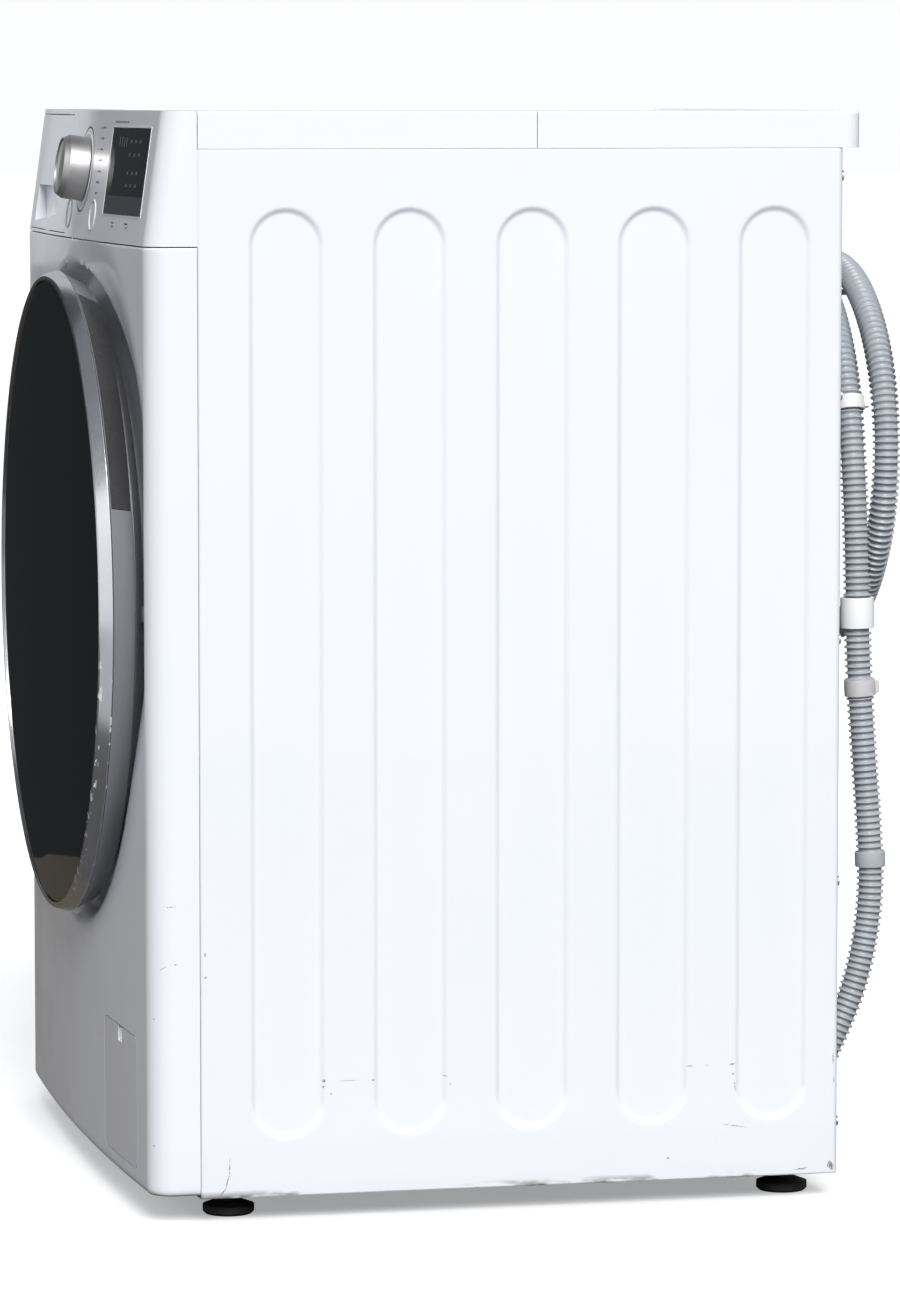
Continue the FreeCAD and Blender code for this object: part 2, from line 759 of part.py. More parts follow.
def door_hinge():
    """Hinge left of the door: two lugs and a pin on the cabinet, a long knuckle on the door."""
    z = door_height
    lugs = []
    for name, low in (("low", z - 60), ("high", z + 46)):
        barrel = rod(f"lug_{name}_barrel", 6, 14, (hinge_x, hinge_y, low))
        neck = box(f"lug_{name}_neck", (hinge_x - 6, hinge_y, low), (hinge_x + 1, -265.5, low + 14))
        pad = box(f"lug_{name}_pad", (-286, -267.6, low), (hinge_x + 1, -265.5, low + 14))
        bore = rod(f"lug_{name}_bore", hinge_pin_radius, 16, (hinge_x, hinge_y, low - 1))
        lugs.append(cut(f"lug_{name}", joined(f"lug_{name}_solid", barrel, neck, pad), bore))
    knuckle = rod("leaf_knuckle", 6, 90, (hinge_x, hinge_y, z - 45))
    leaf = box("leaf_plate", (hinge_x, hinge_y - 4.5, z - 40), (-242, hinge_y + 4.5, z + 40))
    bore = rod("leaf_bore", hinge_pin_radius + 0.05, 92, (hinge_x, hinge_y, z - 46))
    pin = new_body("hinge_pin", (hinge_x, hinge_y, z))
    section = sketch_in(pin, "XZ", [(0, -62), (3, -62), (3, 60), (4.5, 60), (4.5, 62), (0, 62)])
    feature(pin, "Revolution", section, ReferenceAxis=(section, ["V_Axis"]), Angle=360)
    return [
        group("hinge_bracket", *lugs),
        cut("door_hinge_leaf", joined("leaf_solid", knuckle, leaf), bore),
        pin,
    ]


def door_latch():
    z = door_height
    stem = box("hook_stem", (214, -258, z - 6), (219, -238, z + 6))
    nose = box("hook_nose", (214, -244, z - 6), (224, -238, z + 6))
    blank = box("lock_blank", (200, -246.8, z - 40), (246, -215, z + 40))
    hollow = box("lock_hollow", (208, -248, z - 12), (232, -226, z + 12))
    return [joined("door_hook", stem, nose), cut("door_lock", blank, hollow)]


def door_seal():
    profile = [
        (156, -250.5), (158, -251.6), (194.4, -251.6), (194.4, -238), (179, -232), (179, -203), (175.5, -203),
        (175.5, -234.5), (191, -240.5), (191, -248.6), (160, -248.6), (156, -244),
    ]
    return turned_y("door_seal", profile, z=door_height)


# ---------------------------------------------------------------- tub, drum and drive

def tub():
    r = tub_radius
    wall = tub_wall
    front = [
        (171.5, -224), (175, -224), (175, tub_front_y), (r, tub_front_y), (r, tub_split_y), (r - wall, tub_split_y),
        (r - wall, tub_front_y + wall), (171.5, tub_front_y + wall),
    ]
    back = tub_back_y
    rear = [
        (r - wall, tub_split_y + 0.4), (r, tub_split_y + 0.4), (r, back), (55, back), (48, back + 24), (31, back + 24),
        (31, back + 7), (24, back + 7), (24, back - 3), (36, back - 3), (36, back - 26), (52, back - 26),
        (60, back - wall), (r - wall, back - wall),
    ]
    rear_blank = turned_y("tub_rear_blank", rear, z=door_height)
    heater_holes = [rod(f"heater_hole_{i}", 4.4, 20, (x, back - 10, 208.8), ALONG_Y) for i, x in enumerate((-30, 30))]
    bolt_holes = [rod("tub_bolt_hole", 6.2, 12, (x, back - 6, z), ALONG_Y) for x, z in bolt_places]
    return [turned_y("tub_front", front, z=door_height), cut("tub_rear", rear_blank, *heater_holes, *bolt_holes)]


def counterweights():
    """Concrete blocks: a half ring on the tub's face and a saddle on its top."""
    ring = turned_y("weight_ring", [(198, -240), (264, -240), (264, -200.6), (198, -200.6)], z=door_height)
    upper = box("weight_ring_upper", (-300, -260, 400), (300, -180, 800))
    block = box("weight_block", (-40, -100, 690), (150, 100, 788))
    round_ = rod("weight_round", tub_radius + 1, 240, (0, -120, door_height), ALONG_Y)
    return group("counterweights", cut("weight_front", ring, upper), cut("weight_top", block, round_))


def drum():
    r = drum_radius
    skin = 1.2
    shell = [
        (drum_mouth, drum_front_y), (r, drum_front_y), (r, drum_back_y), (12, drum_back_y), (12, drum_back_y - skin),
        (r - skin, drum_back_y - skin), (r - skin, drum_front_y + skin), (drum_mouth + skin, drum_front_y + skin),
        (drum_mouth + skin, drum_front_y + 10), (drum_mouth, drum_front_y + 10),
    ]
    lifters = []
    outline = [(-34, -243), (34, -243), (16, -192), (6, -189), (-6, -189), (-16, -192)]
    for i in range(3):
        lifter = new_body(f"lifter_{i}", (0, 0, door_height), turn_about((0, 1, 0), 120 * i))
        sketch = sketch_in(lifter, "XZ", outline, offset=170)
        feature(lifter, "Pad", sketch, Length=275, Reversed=True)
        curve = sketch_in(lifter, "XZ", circles=[(0, 0, r - skin - 0.2), (0, 0, r + 60)], offset=180)
        feature(lifter, "Pocket", curve, Length=400)
        lifters.append(lifter)
    return [turned_y("drum", shell, z=door_height), group("drum_lifters", *lifters)]


def drum_spider():
    """Three-armed casting behind the drum with its shaft."""
    body = new_body("drum_spider", (0, 0, door_height))
    r = shaft_radius
    face = drum_back_y + 0.2
    profile = [
        (0, face), (46, face), (46, face + 14), (r + 6, face + 18), (r, face + 18), (r, tub_back_y + 2),
        (r - 2.5, tub_back_y + 2), (r - 2.5, pulley_y + 28), (0, pulley_y + 28),
    ]
    section = sketch_in(body, "XY", profile)
    feature(body, "Revolution", section, ReferenceAxis=(section, ["V_Axis"]), Angle=360)
    arm = sketch_in(body, "XZ", [(-20, 30), (20, 30), (11, 236), (-11, 236)], offset=-face)
    pad = feature(body, "Pad", arm, Length=12, Reversed=True)
    pattern = body.newObject("PartDesign::PolarPattern", "spider_arms")
    pattern.Originals = [pad]
    pattern.Axis = (section, ["V_Axis"])
    pattern.Angle = 360
    pattern.Occurrences = 3
    body.Tip = pattern
    doc.recompute()
    return body


def bearings():
    z = door_height
    r = shaft_radius
    back = tub_back_y
    front = [(r + 0.05, back - 22), (36, back - 22), (36, back - 3), (r + 0.05, back - 3)]
    rear = [(r - 2.45, back + 7), (31, back + 7), (31, back + 24), (r - 2.45, back + 24)]
    return group("bearings", turned_y("bearing_front", front, z=z), turned_y("bearing_rear", rear, z=z))


def drum_pulley():
    body = new_body("drum_pulley", (0, pulley_y, door_height))
    r = pulley_radius
    hub_bore = shaft_radius - 2.5
    rim = sketch_in(body, "XY", [(r - 6, 0), (r, 0), (r - 2, 3), (r - 2, 17), (r, 20), (r - 6, 20)])
    feature(body, "Revolution", rim, ReferenceAxis=(rim, ["V_Axis"]), Angle=360)
    spoke = sketch_in(body, "XZ", [(-12, 20), (12, 20), (8, r - 4), (-8, r - 4)], offset=-7)
    pad = feature(body, "Pad", spoke, Length=6, Reversed=True)
    pattern = body.newObject("PartDesign::PolarPattern", "pulley_spokes")
    pattern.Originals = [pad]
    pattern.Axis = (rim, ["V_Axis"])
    pattern.Angle = 360
    pattern.Occurrences = 5
    body.Tip = pattern
    doc.recompute()
    hub = sketch_in(body, "XY", [(hub_bore, 0), (28, 0), (28, 18), (hub_bore, 18)])
    feature(body, "Revolution", hub, ReferenceAxis=(hub, ["V_Axis"]), Angle=360)
    bore = sketch_in(body, "XZ", circles=[(0, 0, hub_bore)])
    feature(body, "Pocket", bore, Type="ThroughAll", Midplane=True)
    return body


def motor():
    at = (motor_x, 0, motor_z)
    r = motor_radius
    housing = [
        (20, 62), (r - 12, 62), (r, 72), (r, 168), (r - 12, 180), (9, 180), (9, 174), (r - 16, 170), (r - 8, 164),
        (r - 8, 76), (r - 16, 68), (20, 68),
    ]
    p = motor_pulley_radius
    rotor = [
        (0, 80), (r - 12, 80), (r - 12, 160), (8, 160), (8, pulley_y), (p + 2, pulley_y), (p + 2, pulley_y + 2),
        (p, pulley_y + 2), (p, pulley_y + 18), (p + 2, pulley_y + 18), (p + 2, pulley_y + 20), (0, pulley_y + 20),
    ]
    shell = turned("motor_shell", housing, at=at)
    end = turned("motor_end", [(0, 56), (21, 56), (21, 74), (0, 74)], at=at)
    return [joined("motor_housing", shell, end), turned("motor_rotor", rotor, at=at)]


def drive_belt():
    """Flat ribbed belt round both pulleys: two arcs and two tangent runs."""
    big = FreeCAD.Vector(0, 0, door_height.value)
    small = FreeCAD.Vector(motor_x.value, 0, motor_z.value)
    span = big - small
    faces = []
    for grow in (3.3, 0.5):
        big_r = pulley_radius.value - 2 + grow
        small_r = motor_pulley_radius.value + grow
        tilt = math.acos((small_r - big_r) / span.Length)
        along = math.atan2(span.z, span.x)
        points = []
        for side in (1, -1):
            angle = along + side * tilt
            direction = FreeCAD.Vector(math.cos(angle), 0, math.sin(angle))
            points.append((small + direction * small_r, big + direction * big_r))
        (s1, b1), (s2, b2) = points
        outward = FreeCAD.Vector(math.cos(along), 0, math.sin(along))
        edges = [
            Part.LineSegment(s1, b1).toShape(),
            Part.Arc(b1, big + outward * big_r, b2).toShape(),
            Part.LineSegment(b2, s2).toShape(),
            Part.Arc(s2, small - outward * small_r, s1).toShape(),
        ]
        faces.append(Part.Face(Part.Wire(edges)))
    loop = faces[0].cut(faces[1]).extrude(FreeCAD.Vector(0, 12, 0))
    item = doc.addObject("Part::Feature", "drive_belt")
    item.Shape = loop.Solids[0]
    place(item, (0, pulley_y.value + 4, 0))
    return item


def suspension():
    springs = []
    for side in (-1, 1):
        helix = doc.addObject("Part::Helix", "spring_path")
        helix.Pitch = 10
        helix.Height = 120
        helix.Radius = 11
        wire = doc.addObject("Part::Circle", "spring_wire")
        wire.Radius = 1.8
        place(wire, (11, 0, 0), turn_about((1, 0, 0), 90))
        spring = doc.addObject("Part::Sweep", "spring")
        spring.Sections = [wire]
        spring.Spine = (helix, [])
        spring.Solid = True
        spring.Frenet = True
        springs.append(place(spring, (215 * side, 60, 662)))
    dampers = []
    for side in (-1, 1):
        lean = turn_about((0, 1, 0), -14 * side)
        foot = FreeCAD.Vector(238 * side, 60, 44)
        rise = lean.multVec(FreeCAD.Vector(0, 0, 1))
        body = rod("damper_tube", 13, 118, foot, lean)
        stem = rod("damper_rod", 5, 84, foot + rise * 118, lean)
        dampers.append(joined("damper", body, stem))
    return [group("suspension_springs", *springs), group("dampers", *dampers)]


def heater():
    back = tub_back_y
    rods = [rod("heater_rod", 4, back + 6, (x, 0, 208.8), ALONG_Y) for x in (-30, 30)]
    bend = doc.addObject("Part::Torus", "heater_bend")
    bend.Radius1 = 30
    bend.Radius2 = 4
    bend.Angle3 = 180
    place(bend, (0, 0, 208.8), turn_about((0, 0, 1), 180))
    flange = box("heater_flange", (-44, back + 0.2, 198), (44, back + 6, 220))
    return joined("heater", *rods, bend, flange)


def pump():
    at = (pump_x, 0, pump_z)
    housing = [(27, -234), (33, -234), (33, -150), (31, -146), (31, -96), (0, -96), (0, -158), (27, -158)]
    cap = [(0, -246), (20, -246), (30, -240), (30, -234.4), (25.6, -234.4), (25.6, -165), (0, -165)]
    body = turned("cap_blank", cap, at=at)
    grips = [
        box(f"cap_grip_{i}", (pump_x - 30, -250, pump_z + 4 + 10 * i), (pump_x + 30, -241, pump_z + 16 + 10 * i))
        for i in (0, -2.4)
    ]
    return [turned("pump_housing", housing, at=at), cut("filter_cap", body, *grips)]


def water_inlet():
    """Solenoid valve on the rear panel with its threaded nozzle and the pipe to the drawer."""
    body = box("valve_body", (-216, 236, 758), (-164, rear_y - 2.2, 799))
    nozzle = rod("valve_nozzle", 13.2, 24, (-190, trim_back_y - 26, 780), ALONG_Y)
    bore = rod("valve_bore", 8, 24, (-190, trim_back_y - 22, 780), ALONG_Y)
    pipe = rod("valve_pipe", 9, 215.8, (-190, 20.2, 780), ALONG_Y)
    return cut("inlet_valve", joined("valve_solid", body, nozzle, pipe), bore)


def rear_fittings():
    """Transit bolts, screws, cable gland and the drain hose's outlet collar."""
    bolts = []
    face = rear_y
    for x, z in bolt_places:
        shank = rod("bolt_shank", 6, face - tub_back_y + 7, (x, tub_back_y - 4, z), ALONG_Y)
        head = rod("bolt_head", 14, 5, (x, face, z), ALONG_Y)
        bolts.append(joined("transit_bolt", shank, head))
    screws = []
    screw_circle = 162.5
    for i in range(8):
        angle = math.radians(45 * i + 22.5)
        x = screw_circle * math.cos(angle)
        z = door_height.value + screw_circle * math.sin(angle)
        screws.append(rod("cover_screw", 4, 2, (x, face, z), ALONG_Y))
    for x in (-288.5, 288.5):
        for z in (60, 250, 440, 630, 800):
            screws.append(rod("panel_screw", 4, 2, (x, face, z), ALONG_Y))
    gland = turned("power_gland", [(4, 272), (7.8, 272), (7.8, face - 0.2), (11, face), (9, 295), (4, 295)],
                   at=(200, 0, 780))
    frame = prism("outlet_frame", "XZ", rounded(251, 85, 277, 139, 7), face - 8, 12)
    hole = prism("outlet_hole", "XZ", rounded(252.5, 86.5, 275.5, 137.5, 6), face - 9, 14)
    collar = cut("hose_collar", frame, hole)
    return [group("rear_fasteners", *bolts, *screws), group("rear_grommets", gland, collar)]


# ---------------------------------------------------------------- drain hose

# Centre line from the outlet low at the rear right, up the corner and once and a half round
# a loop hung on the rear panel. The second time round lies one hose further out.
HOSE_ROUTE = [
    (262, 274, 92), (264, 291, 128), (267, 308, 174), (268, 317.5, 236), (268, 314, 300), (268, 309, 360),
    (268, 304.5, 430), (268, 303.5, 500), (266, 301, 575), (246, 300, 650), (195, 300, 706), (122, 300, 732),
    (42, 300, 708), (-14, 300, 650), (-28, 301, 575), (-4, 304, 500), (52, 311, 448), (122, 318, 430),
    (196, 324, 448), (250, 327, 506), (270, 328, 582), (249, 328, 658), (194, 327, 712), (122, 326, 732),
    (48, 326, 711), (-4, 326, 656), (-26, 326, 588), (-28, 326, 540),
]


def hose_path(points):
    """Straight runs joined by tangent arcs, each as large as its two runs allow."""
    points = [FreeCAD.Vector(*point) for point in points]
    edges = []
    last = points[0]
    radii = []
    for before, corner, after in zip(points, points[1:], points[2:]):
        back = before - corner
        ahead = after - corner
        run = min(back.Length, ahead.Length)
        turn = math.pi - back.getAngle(ahead)
        reach = 0.45 * run
        radii.append(reach / math.tan(turn / 2))
        first = corner + back.normalize() * reach
        second = corner + ahead.normalize() * reach
        middle = (back + ahead).normalize()
        centre = corner + middle * (radii[-1] / math.cos(turn / 2))
        apex = centre - middle * radii[-1]
        edges.append(Part.LineSegment(last, first).toShape())
        edges.append(Part.Arc(first, apex, second).toShape())
        last = second
    edges.append(Part.LineSegment(last, points[-1]).toShape())
    return Part.Wire(edges), radii


def drain_hose():
    wire, radii = hose_path(HOSE_ROUTE)
    start = wire.Edges[0]
    circle = Part.Wire(Part.Circle(start.valueAt(0), start.tangentAt(0), hose_radius.value).toShape())
    tube = wire.makePipeShell([circle], True, True)
    expected = math.pi * hose_radius.value ** 2 * wire.Length
    print("hose length", round(wire.Length), "smallest radius", round(min(radii)), [round(r) for r in radii])
    print("hose volume ratio", round(tube.Volume / expected, 4), "valid", tube.isValid())
    item = doc.addObject("Part::Feature", "drain_hose")
    item.Shape = tube
    return item


def hose_ring(name, index, share, radius, length):
    """A band round the hose, part of the way along one of its straight runs."""
    a = FreeCAD.Vector(*HOSE_ROUTE[index])
    b = FreeCAD.Vector(*HOSE_ROUTE[index + 1])
    way = (b - a).normalize()
    middle = a + (b - a) * share
    turn = FreeCAD.Rotation(FreeCAD.Vector(0, 0, 1), way)
    at = middle - way * (length / 2)
    outer = rod(f"{name}_outer", radius, length, at, turn)
    inner = rod(f"{name}_inner", hose_radius + 0.1, length + 2, at - way, turn)
    return cut(name, outer, inner)


def hose_pieces():
    ties = group(
        "hose_ties",
        hose_ring("tie_low", 5, 0.58, 12.4, 13),
        hose_ring("tie_high", 8, 0.62, 12.4, 10),
        hose_ring("tie_mid", 3, 0.45, 12.3, 12),
        hose_ring("clip_band", 6, 0.4, 13.2, 24),
    )
    end = FreeCAD.Vector(*HOSE_ROUTE[-1])
    way = (end - FreeCAD.Vector(*HOSE_ROUTE[-2])).normalize()
    turn = FreeCAD.Rotation(FreeCAD.Vector(0, 0, 1), way)
    cuff = rod("cuff_body", 13.5, 40, end, turn)
    nozzle = rod("cuff_bore", 9, 36, end + way * 5, turn)
    peg = box("hook_peg", (112, rear_y + 0.2, 702), (132, 342, 706))
    lip = box("hook_lip", (112, 339, 702), (132, 342, 724))
    plate = box("hook_plate", (108, rear_y + 0.2, 690), (136, rear_y + 3, 760))
    return [ties, cut("hose_end", cuff, nozzle), joined("hose_hook", peg, lip, plate)]


# ---------------------------------------------------------------- assembly and export

front_outer, front_inner = front_blanks()
nodes = [
    side_panel("side_panel_right", 1), side_panel("side_panel_left", -1), rear_panel(), rear_service_cover(),
    base_tray(), cross_bars(), *top_trims(), top_board(), *feet(), front_panel(front_outer, front_inner),
    service_flap(front_outer), *control_panel(), *knob(), control_board(), *detergent_drawer(), *door(),
    *door_hinge(), *door_latch(), door_seal(), *tub(), counterweights(), *drum(), drum_spider(), bearings(),
    drum_pulley(), *motor(), drive_belt(), *suspension(), heater(), *pump(), water_inlet(), *rear_fittings(),
    drain_hose(), *hose_pieces(),
]
doc.recompute()

for item in doc.Objects:
    if "Invalid" in item.State or "Error" in item.State:
        raise RuntimeError(f"{item.Label}: {item.State}")
for item in nodes:
    if item.Shape.isNull() or not item.Shape.isValid() or not item.Shape.Solids:
        raise RuntimeError(f"{item.Label} has no valid solid")
    item.Shape.exportStep(f"parts/{item.Label}.step")
print(len(nodes), "nodes written")
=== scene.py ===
"""Looks of the front load washing machine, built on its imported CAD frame. Metres, +Z up, front faces -Y."""

import json
import math
from bisect import bisect_left

import bmesh
import bpy
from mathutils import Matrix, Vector


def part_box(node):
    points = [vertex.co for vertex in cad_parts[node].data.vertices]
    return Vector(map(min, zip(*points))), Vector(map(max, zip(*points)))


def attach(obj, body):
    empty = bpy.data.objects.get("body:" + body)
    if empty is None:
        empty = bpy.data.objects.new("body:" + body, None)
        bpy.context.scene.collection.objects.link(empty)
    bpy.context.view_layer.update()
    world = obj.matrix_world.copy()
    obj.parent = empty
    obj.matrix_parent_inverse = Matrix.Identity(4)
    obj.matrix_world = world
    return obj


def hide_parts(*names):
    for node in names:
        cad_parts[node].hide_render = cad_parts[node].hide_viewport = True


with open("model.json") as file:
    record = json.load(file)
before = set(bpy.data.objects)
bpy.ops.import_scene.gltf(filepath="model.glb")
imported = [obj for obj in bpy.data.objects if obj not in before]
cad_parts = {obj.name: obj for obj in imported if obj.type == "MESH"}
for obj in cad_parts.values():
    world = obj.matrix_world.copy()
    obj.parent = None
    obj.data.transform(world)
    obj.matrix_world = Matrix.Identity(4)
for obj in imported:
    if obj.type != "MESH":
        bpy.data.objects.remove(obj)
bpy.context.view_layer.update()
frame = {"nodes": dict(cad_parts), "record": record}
nodes = frame["nodes"]
slot_of = {row["node"]: row["material_slot"] for row in frame["record"]["subparts"]}
scene = bpy.context.scene

MM = 0.001
SIDE_LOW, SIDE_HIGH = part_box("side_panel_right")
PANEL_LOW, PANEL_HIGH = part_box("front_panel")
FASCIA_LOW, FASCIA_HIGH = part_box("control_fascia")
DISPLAY_LOW, DISPLAY_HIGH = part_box("display_window")
FLAP_LOW, FLAP_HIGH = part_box("service_flap")
RIM_LOW, RIM_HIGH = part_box("door_rim")
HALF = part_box("top_trim_rear")[1].x
CROWN_Y = PANEL_LOW.y
BOW = 4.994
CORNER = 0.019
FASCIA_LEAN = 0.0142
DOOR_Z = (RIM_LOW.z + RIM_HIGH.z) / 2
KNOB_AT = (0.016, 0.803)
START_X, POWER_X, BUTTON_Z = 0.0765, -0.036, 0.7675
STRIP_TOP = 0.7842
DRUM_RADIUS = 0.245


# ------------------------ shader helpers

def empty_material(name):
    material = bpy.data.materials.new(name)
    material.use_nodes = True
    material.node_tree.nodes.clear()
    return material


class Shader:
    """A material with a Principled surface and short ways to add nodes."""

    def __init__(self, name, color, roughness, metallic=0.0, **sockets):
        self.material = empty_material(name)
        self.tree = self.material.node_tree
        self.surface = self.add("ShaderNodeBsdfPrincipled")
        output = self.add("ShaderNodeOutputMaterial")
        self.join(self.surface.outputs[0], output.inputs[0])
        self.set("Base Color", (*color, 1))
        self.set("Roughness", roughness)
        self.set("Metallic", metallic)
        for socket, value in sockets.items():
            self.set(socket.replace("_", " "), value)
        self.place = self.add("ShaderNodeTexCoord").outputs["Object"]
        self.height = None

    def add(self, kind, **settings):
        node = self.tree.nodes.new(kind)
        for key, value in settings.items():
            setattr(node, key, value)
        return node

    def join(self, source, target):
        self.tree.links.new(source, target)

    def set(self, socket, value):
        self.surface.inputs[socket].default_value = value

    def give(self, socket, value):
        self.join(value, self.surface.inputs[socket])

    def math(self, operation, a, b=0.0, clamp=False):
        node = self.add("ShaderNodeMath", operation=operation, use_clamp=clamp)
        for slot, value in enumerate((a, b)):
            if isinstance(value, (int, float)):
                node.inputs[slot].default_value = value
            else:
                self.join(value, node.inputs[slot])
        return node.outputs[0]

    def axis(self, letter):
        if not hasattr(self, "axes"):
            self.axes = self.add("ShaderNodeSeparateXYZ")
            self.join(self.place, self.axes.inputs[0])
        return self.axes.outputs[letter]

    def stretched(self, scale):
        node = self.add("ShaderNodeMapping")
        node.inputs["Scale"].default_value = scale
        self.join(self.place, node.inputs["Vector"])
        return node.outputs[0]

    def noise(self, scale, detail=2.0, vector=None, roughness=0.5):
        node = self.add("ShaderNodeTexNoise")
        node.inputs["Scale"].default_value = scale
        node.inputs["Detail"].default_value = detail
        node.inputs["Roughness"].default_value = roughness
        self.join(vector or self.place, node.inputs["Vector"])
        return node.outputs[0]

    def cells(self, scale):
        node = self.add("ShaderNodeTexVoronoi")
        node.inputs["Scale"].default_value = scale
        self.join(self.place, node.inputs["Vector"])
        return node

    def ramp(self, value, low, high, to_low=0.0, to_high=1.0):
        """Maps low..high to to_low..to_high, held at both ends."""
        node = self.add("ShaderNodeMapRange", clamp=True)
        for slot, setting in enumerate((low, high, to_low, to_high)):
            node.inputs[slot + 1].default_value = setting
        self.join(value, node.inputs[0])
        return node.outputs[0]

    def tint(self, mask, low, high):
        """A colour that goes from low to high with the mask."""
        node = self.add("ShaderNodeMix", data_type="RGBA", clamp_factor=True)
        self.join(mask, node.inputs[0])
        for slot, color in ((6, low), (7, high)):
            if isinstance(color, (tuple, list)):
                node.inputs[slot].default_value = (*color, 1)
            else:
                self.join(color, node.inputs[slot])
        return node.outputs[2]

    def plus(self, a, b):
        return self.math("ADD", a, b)

    def minus(self, a, b):
        return self.math("SUBTRACT", a, b)

    def times(self, a, b):
        return self.math("MULTIPLY", a, b)

    def length(self, a, b):
        return self.math("SQRT", self.plus(self.math("POWER", a, 2), self.math("POWER", b, 2)))

    def raise_by(self, value, distance):
        """Adds a bump of this height in metres on top of the ones before."""
        node = self.add("ShaderNodeBump")
        node.inputs["Strength"].default_value = 1.0
        node.inputs["Distance"].default_value = distance
        self.join(value, node.inputs["Height"])
        if self.height:
            self.join(self.height, node.inputs["Normal"])
        self.height = node.outputs[0]
        self.give("Normal", self.height)


def orange_peel(shader, wave=260, height=0.00001):
    """The fine ripple of sprayed paint or moulded plastic."""
    shader.raise_by(shader.noise(wave, 1.5), height)


def gloss_variation(shader, low, high, scale=9):
    patches = shader.noise(scale, 4, roughness=0.6)
    shader.give("Roughness", shader.ramp(patches, 0.35, 0.7, low, high))


def mark(shader, center, reach, turn):
    """Mask of one scratch or knock at a (y, z): an oval of these half sizes, turned, with a ragged edge."""
    u = shader.minus(shader.axis("Y"), center[0])
    v = shader.minus(shader.axis("Z"), center[1])
    c, s = math.cos(turn), math.sin(turn)
    along = shader.plus(shader.times(u, c), shader.times(v, s))
    across = shader.minus(shader.times(v, c), shader.times(u, s))
    along = shader.math("POWER", shader.math("ABSOLUTE", shader.math("DIVIDE", along, reach[0])), 2)
    across = shader.math("POWER", shader.math("ABSOLUTE", shader.math("DIVIDE", across, reach[1])), 2)
    radius = shader.plus(along, across)
    ragged = shader.plus(radius, shader.ramp(shader.noise(900, 2), 0.3, 0.7, -0.6, 0.9))
    return shader.ramp(ragged, 1.0, 0.6)


def most(shader, masks):
    total = masks[0]
    for other in masks[1:]:
        total = shader.math("MAXIMUM", total, other)
    return total


# ------------------------ materials

def painted_steel(name, marks=(), grime=True, shine=0.5, coat=0.25, smooth=0.07):
    """White gloss enamel: orange peel, wiped patches, knocks, and bare grey metal along the bottom lip."""
    coats = {"Coat_Weight": coat, "Coat_Roughness": 0.03, "Specular_IOR_Level": shine}
    paint = Shader(name, (0.86, 0.88, 0.93), 0.09, **coats)
    orange_peel(paint)
    gloss_variation(paint, smooth, smooth + 0.09)
    tone = paint.tint(paint.noise(3.5, 3), (0.84, 0.865, 0.925), (0.88, 0.895, 0.935))
    chips = [mark(paint, *one) for one in marks]
    if grime:
        low = paint.ramp(paint.axis("Z"), SIDE_LOW.z + 6 * MM, SIDE_LOW.z + 1.2 * MM)
        patchy = paint.ramp(paint.noise(46, 5, paint.stretched((0.4, 0.45, 1.6))), 0.47, 0.56)
        chips.append(paint.times(low, patchy))
    if chips:
        mask = most(paint, chips)
        worn = paint.tint(paint.noise(240, 3), (0.16, 0.155, 0.15), (0.42, 0.41, 0.4))
        tone = paint.tint(mask, tone, worn)
        paint.raise_by(paint.minus(1.0, mask), 0.00004)
    paint.give("Base Color", tone)
    return paint.material


def white_plastic():
    plastic = Shader("white_plastic", (0.87, 0.885, 0.93), 0.08, Coat_Weight=0.2, Coat_Roughness=0.03)
    orange_peel(plastic, 180, 0.000007)
    gloss_variation(plastic, 0.06, 0.13, 14)
    plastic.give("Base Color", plastic.tint(plastic.noise(5, 2), (0.86, 0.875, 0.925), (0.885, 0.895, 0.935)))
    return plastic.material


def laminate():
    """White melamine board with a very fine pebble."""
    board = Shader("laminate", (0.86, 0.87, 0.9), 0.3)
    board.raise_by(board.noise(900, 2), 0.00002)
    board.give("Base Color", board.tint(board.noise(30, 4), (0.84, 0.85, 0.885), (0.88, 0.885, 0.91)))
    return board.material


def moulded(name, low, high, roughness, grain=700, height=0.00002):
    """Grained moulded plastic or rubber that varies a little in tone."""
    plastic = Shader(name, low, roughness)
    plastic.raise_by(plastic.noise(grain, 3), height)
    gloss_variation(plastic, roughness * 0.85, min(roughness * 1.25, 1), 25)
    plastic.give("Base Color", plastic.tint(plastic.noise(18, 4), low, high))
    return plastic.material


def metal(name, low, high, roughness, stretch, grain=500, height=0.000008):
    """Bare metal: drawn or cast grain, long in one direction, and a mottled tone."""
    plate = Shader(name, low, roughness, 1.0)
    lines = plate.noise(grain, 3, plate.stretched(stretch))
    plate.raise_by(lines, height)
    plate.give("Roughness", plate.ramp(lines, 0.3, 0.7, roughness * 0.75, roughness * 1.3))
    plate.give("Base Color", plate.tint(plate.noise(22, 5), low, high))
    return plate.material


def galvanised():
    """Zinc coated sheet with its crystal flowers."""
    plate = Shader("galvanised", (0.6, 0.61, 0.63), 0.35, 1.0)
    flowers = plate.cells(130).outputs["Color"]
    value = plate.add("ShaderNodeSeparateColor")
    plate.join(flowers, value.inputs[0])
    plate.give("Base Color", plate.tint(value.outputs[0], (0.5, 0.51, 0.53), (0.68, 0.69, 0.71)))
    plate.give("Roughness", plate.ramp(value.outputs[1], 0, 1, 0.28, 0.48))
    plate.raise_by(plate.noise(600, 2), 0.00001)
    return plate.material


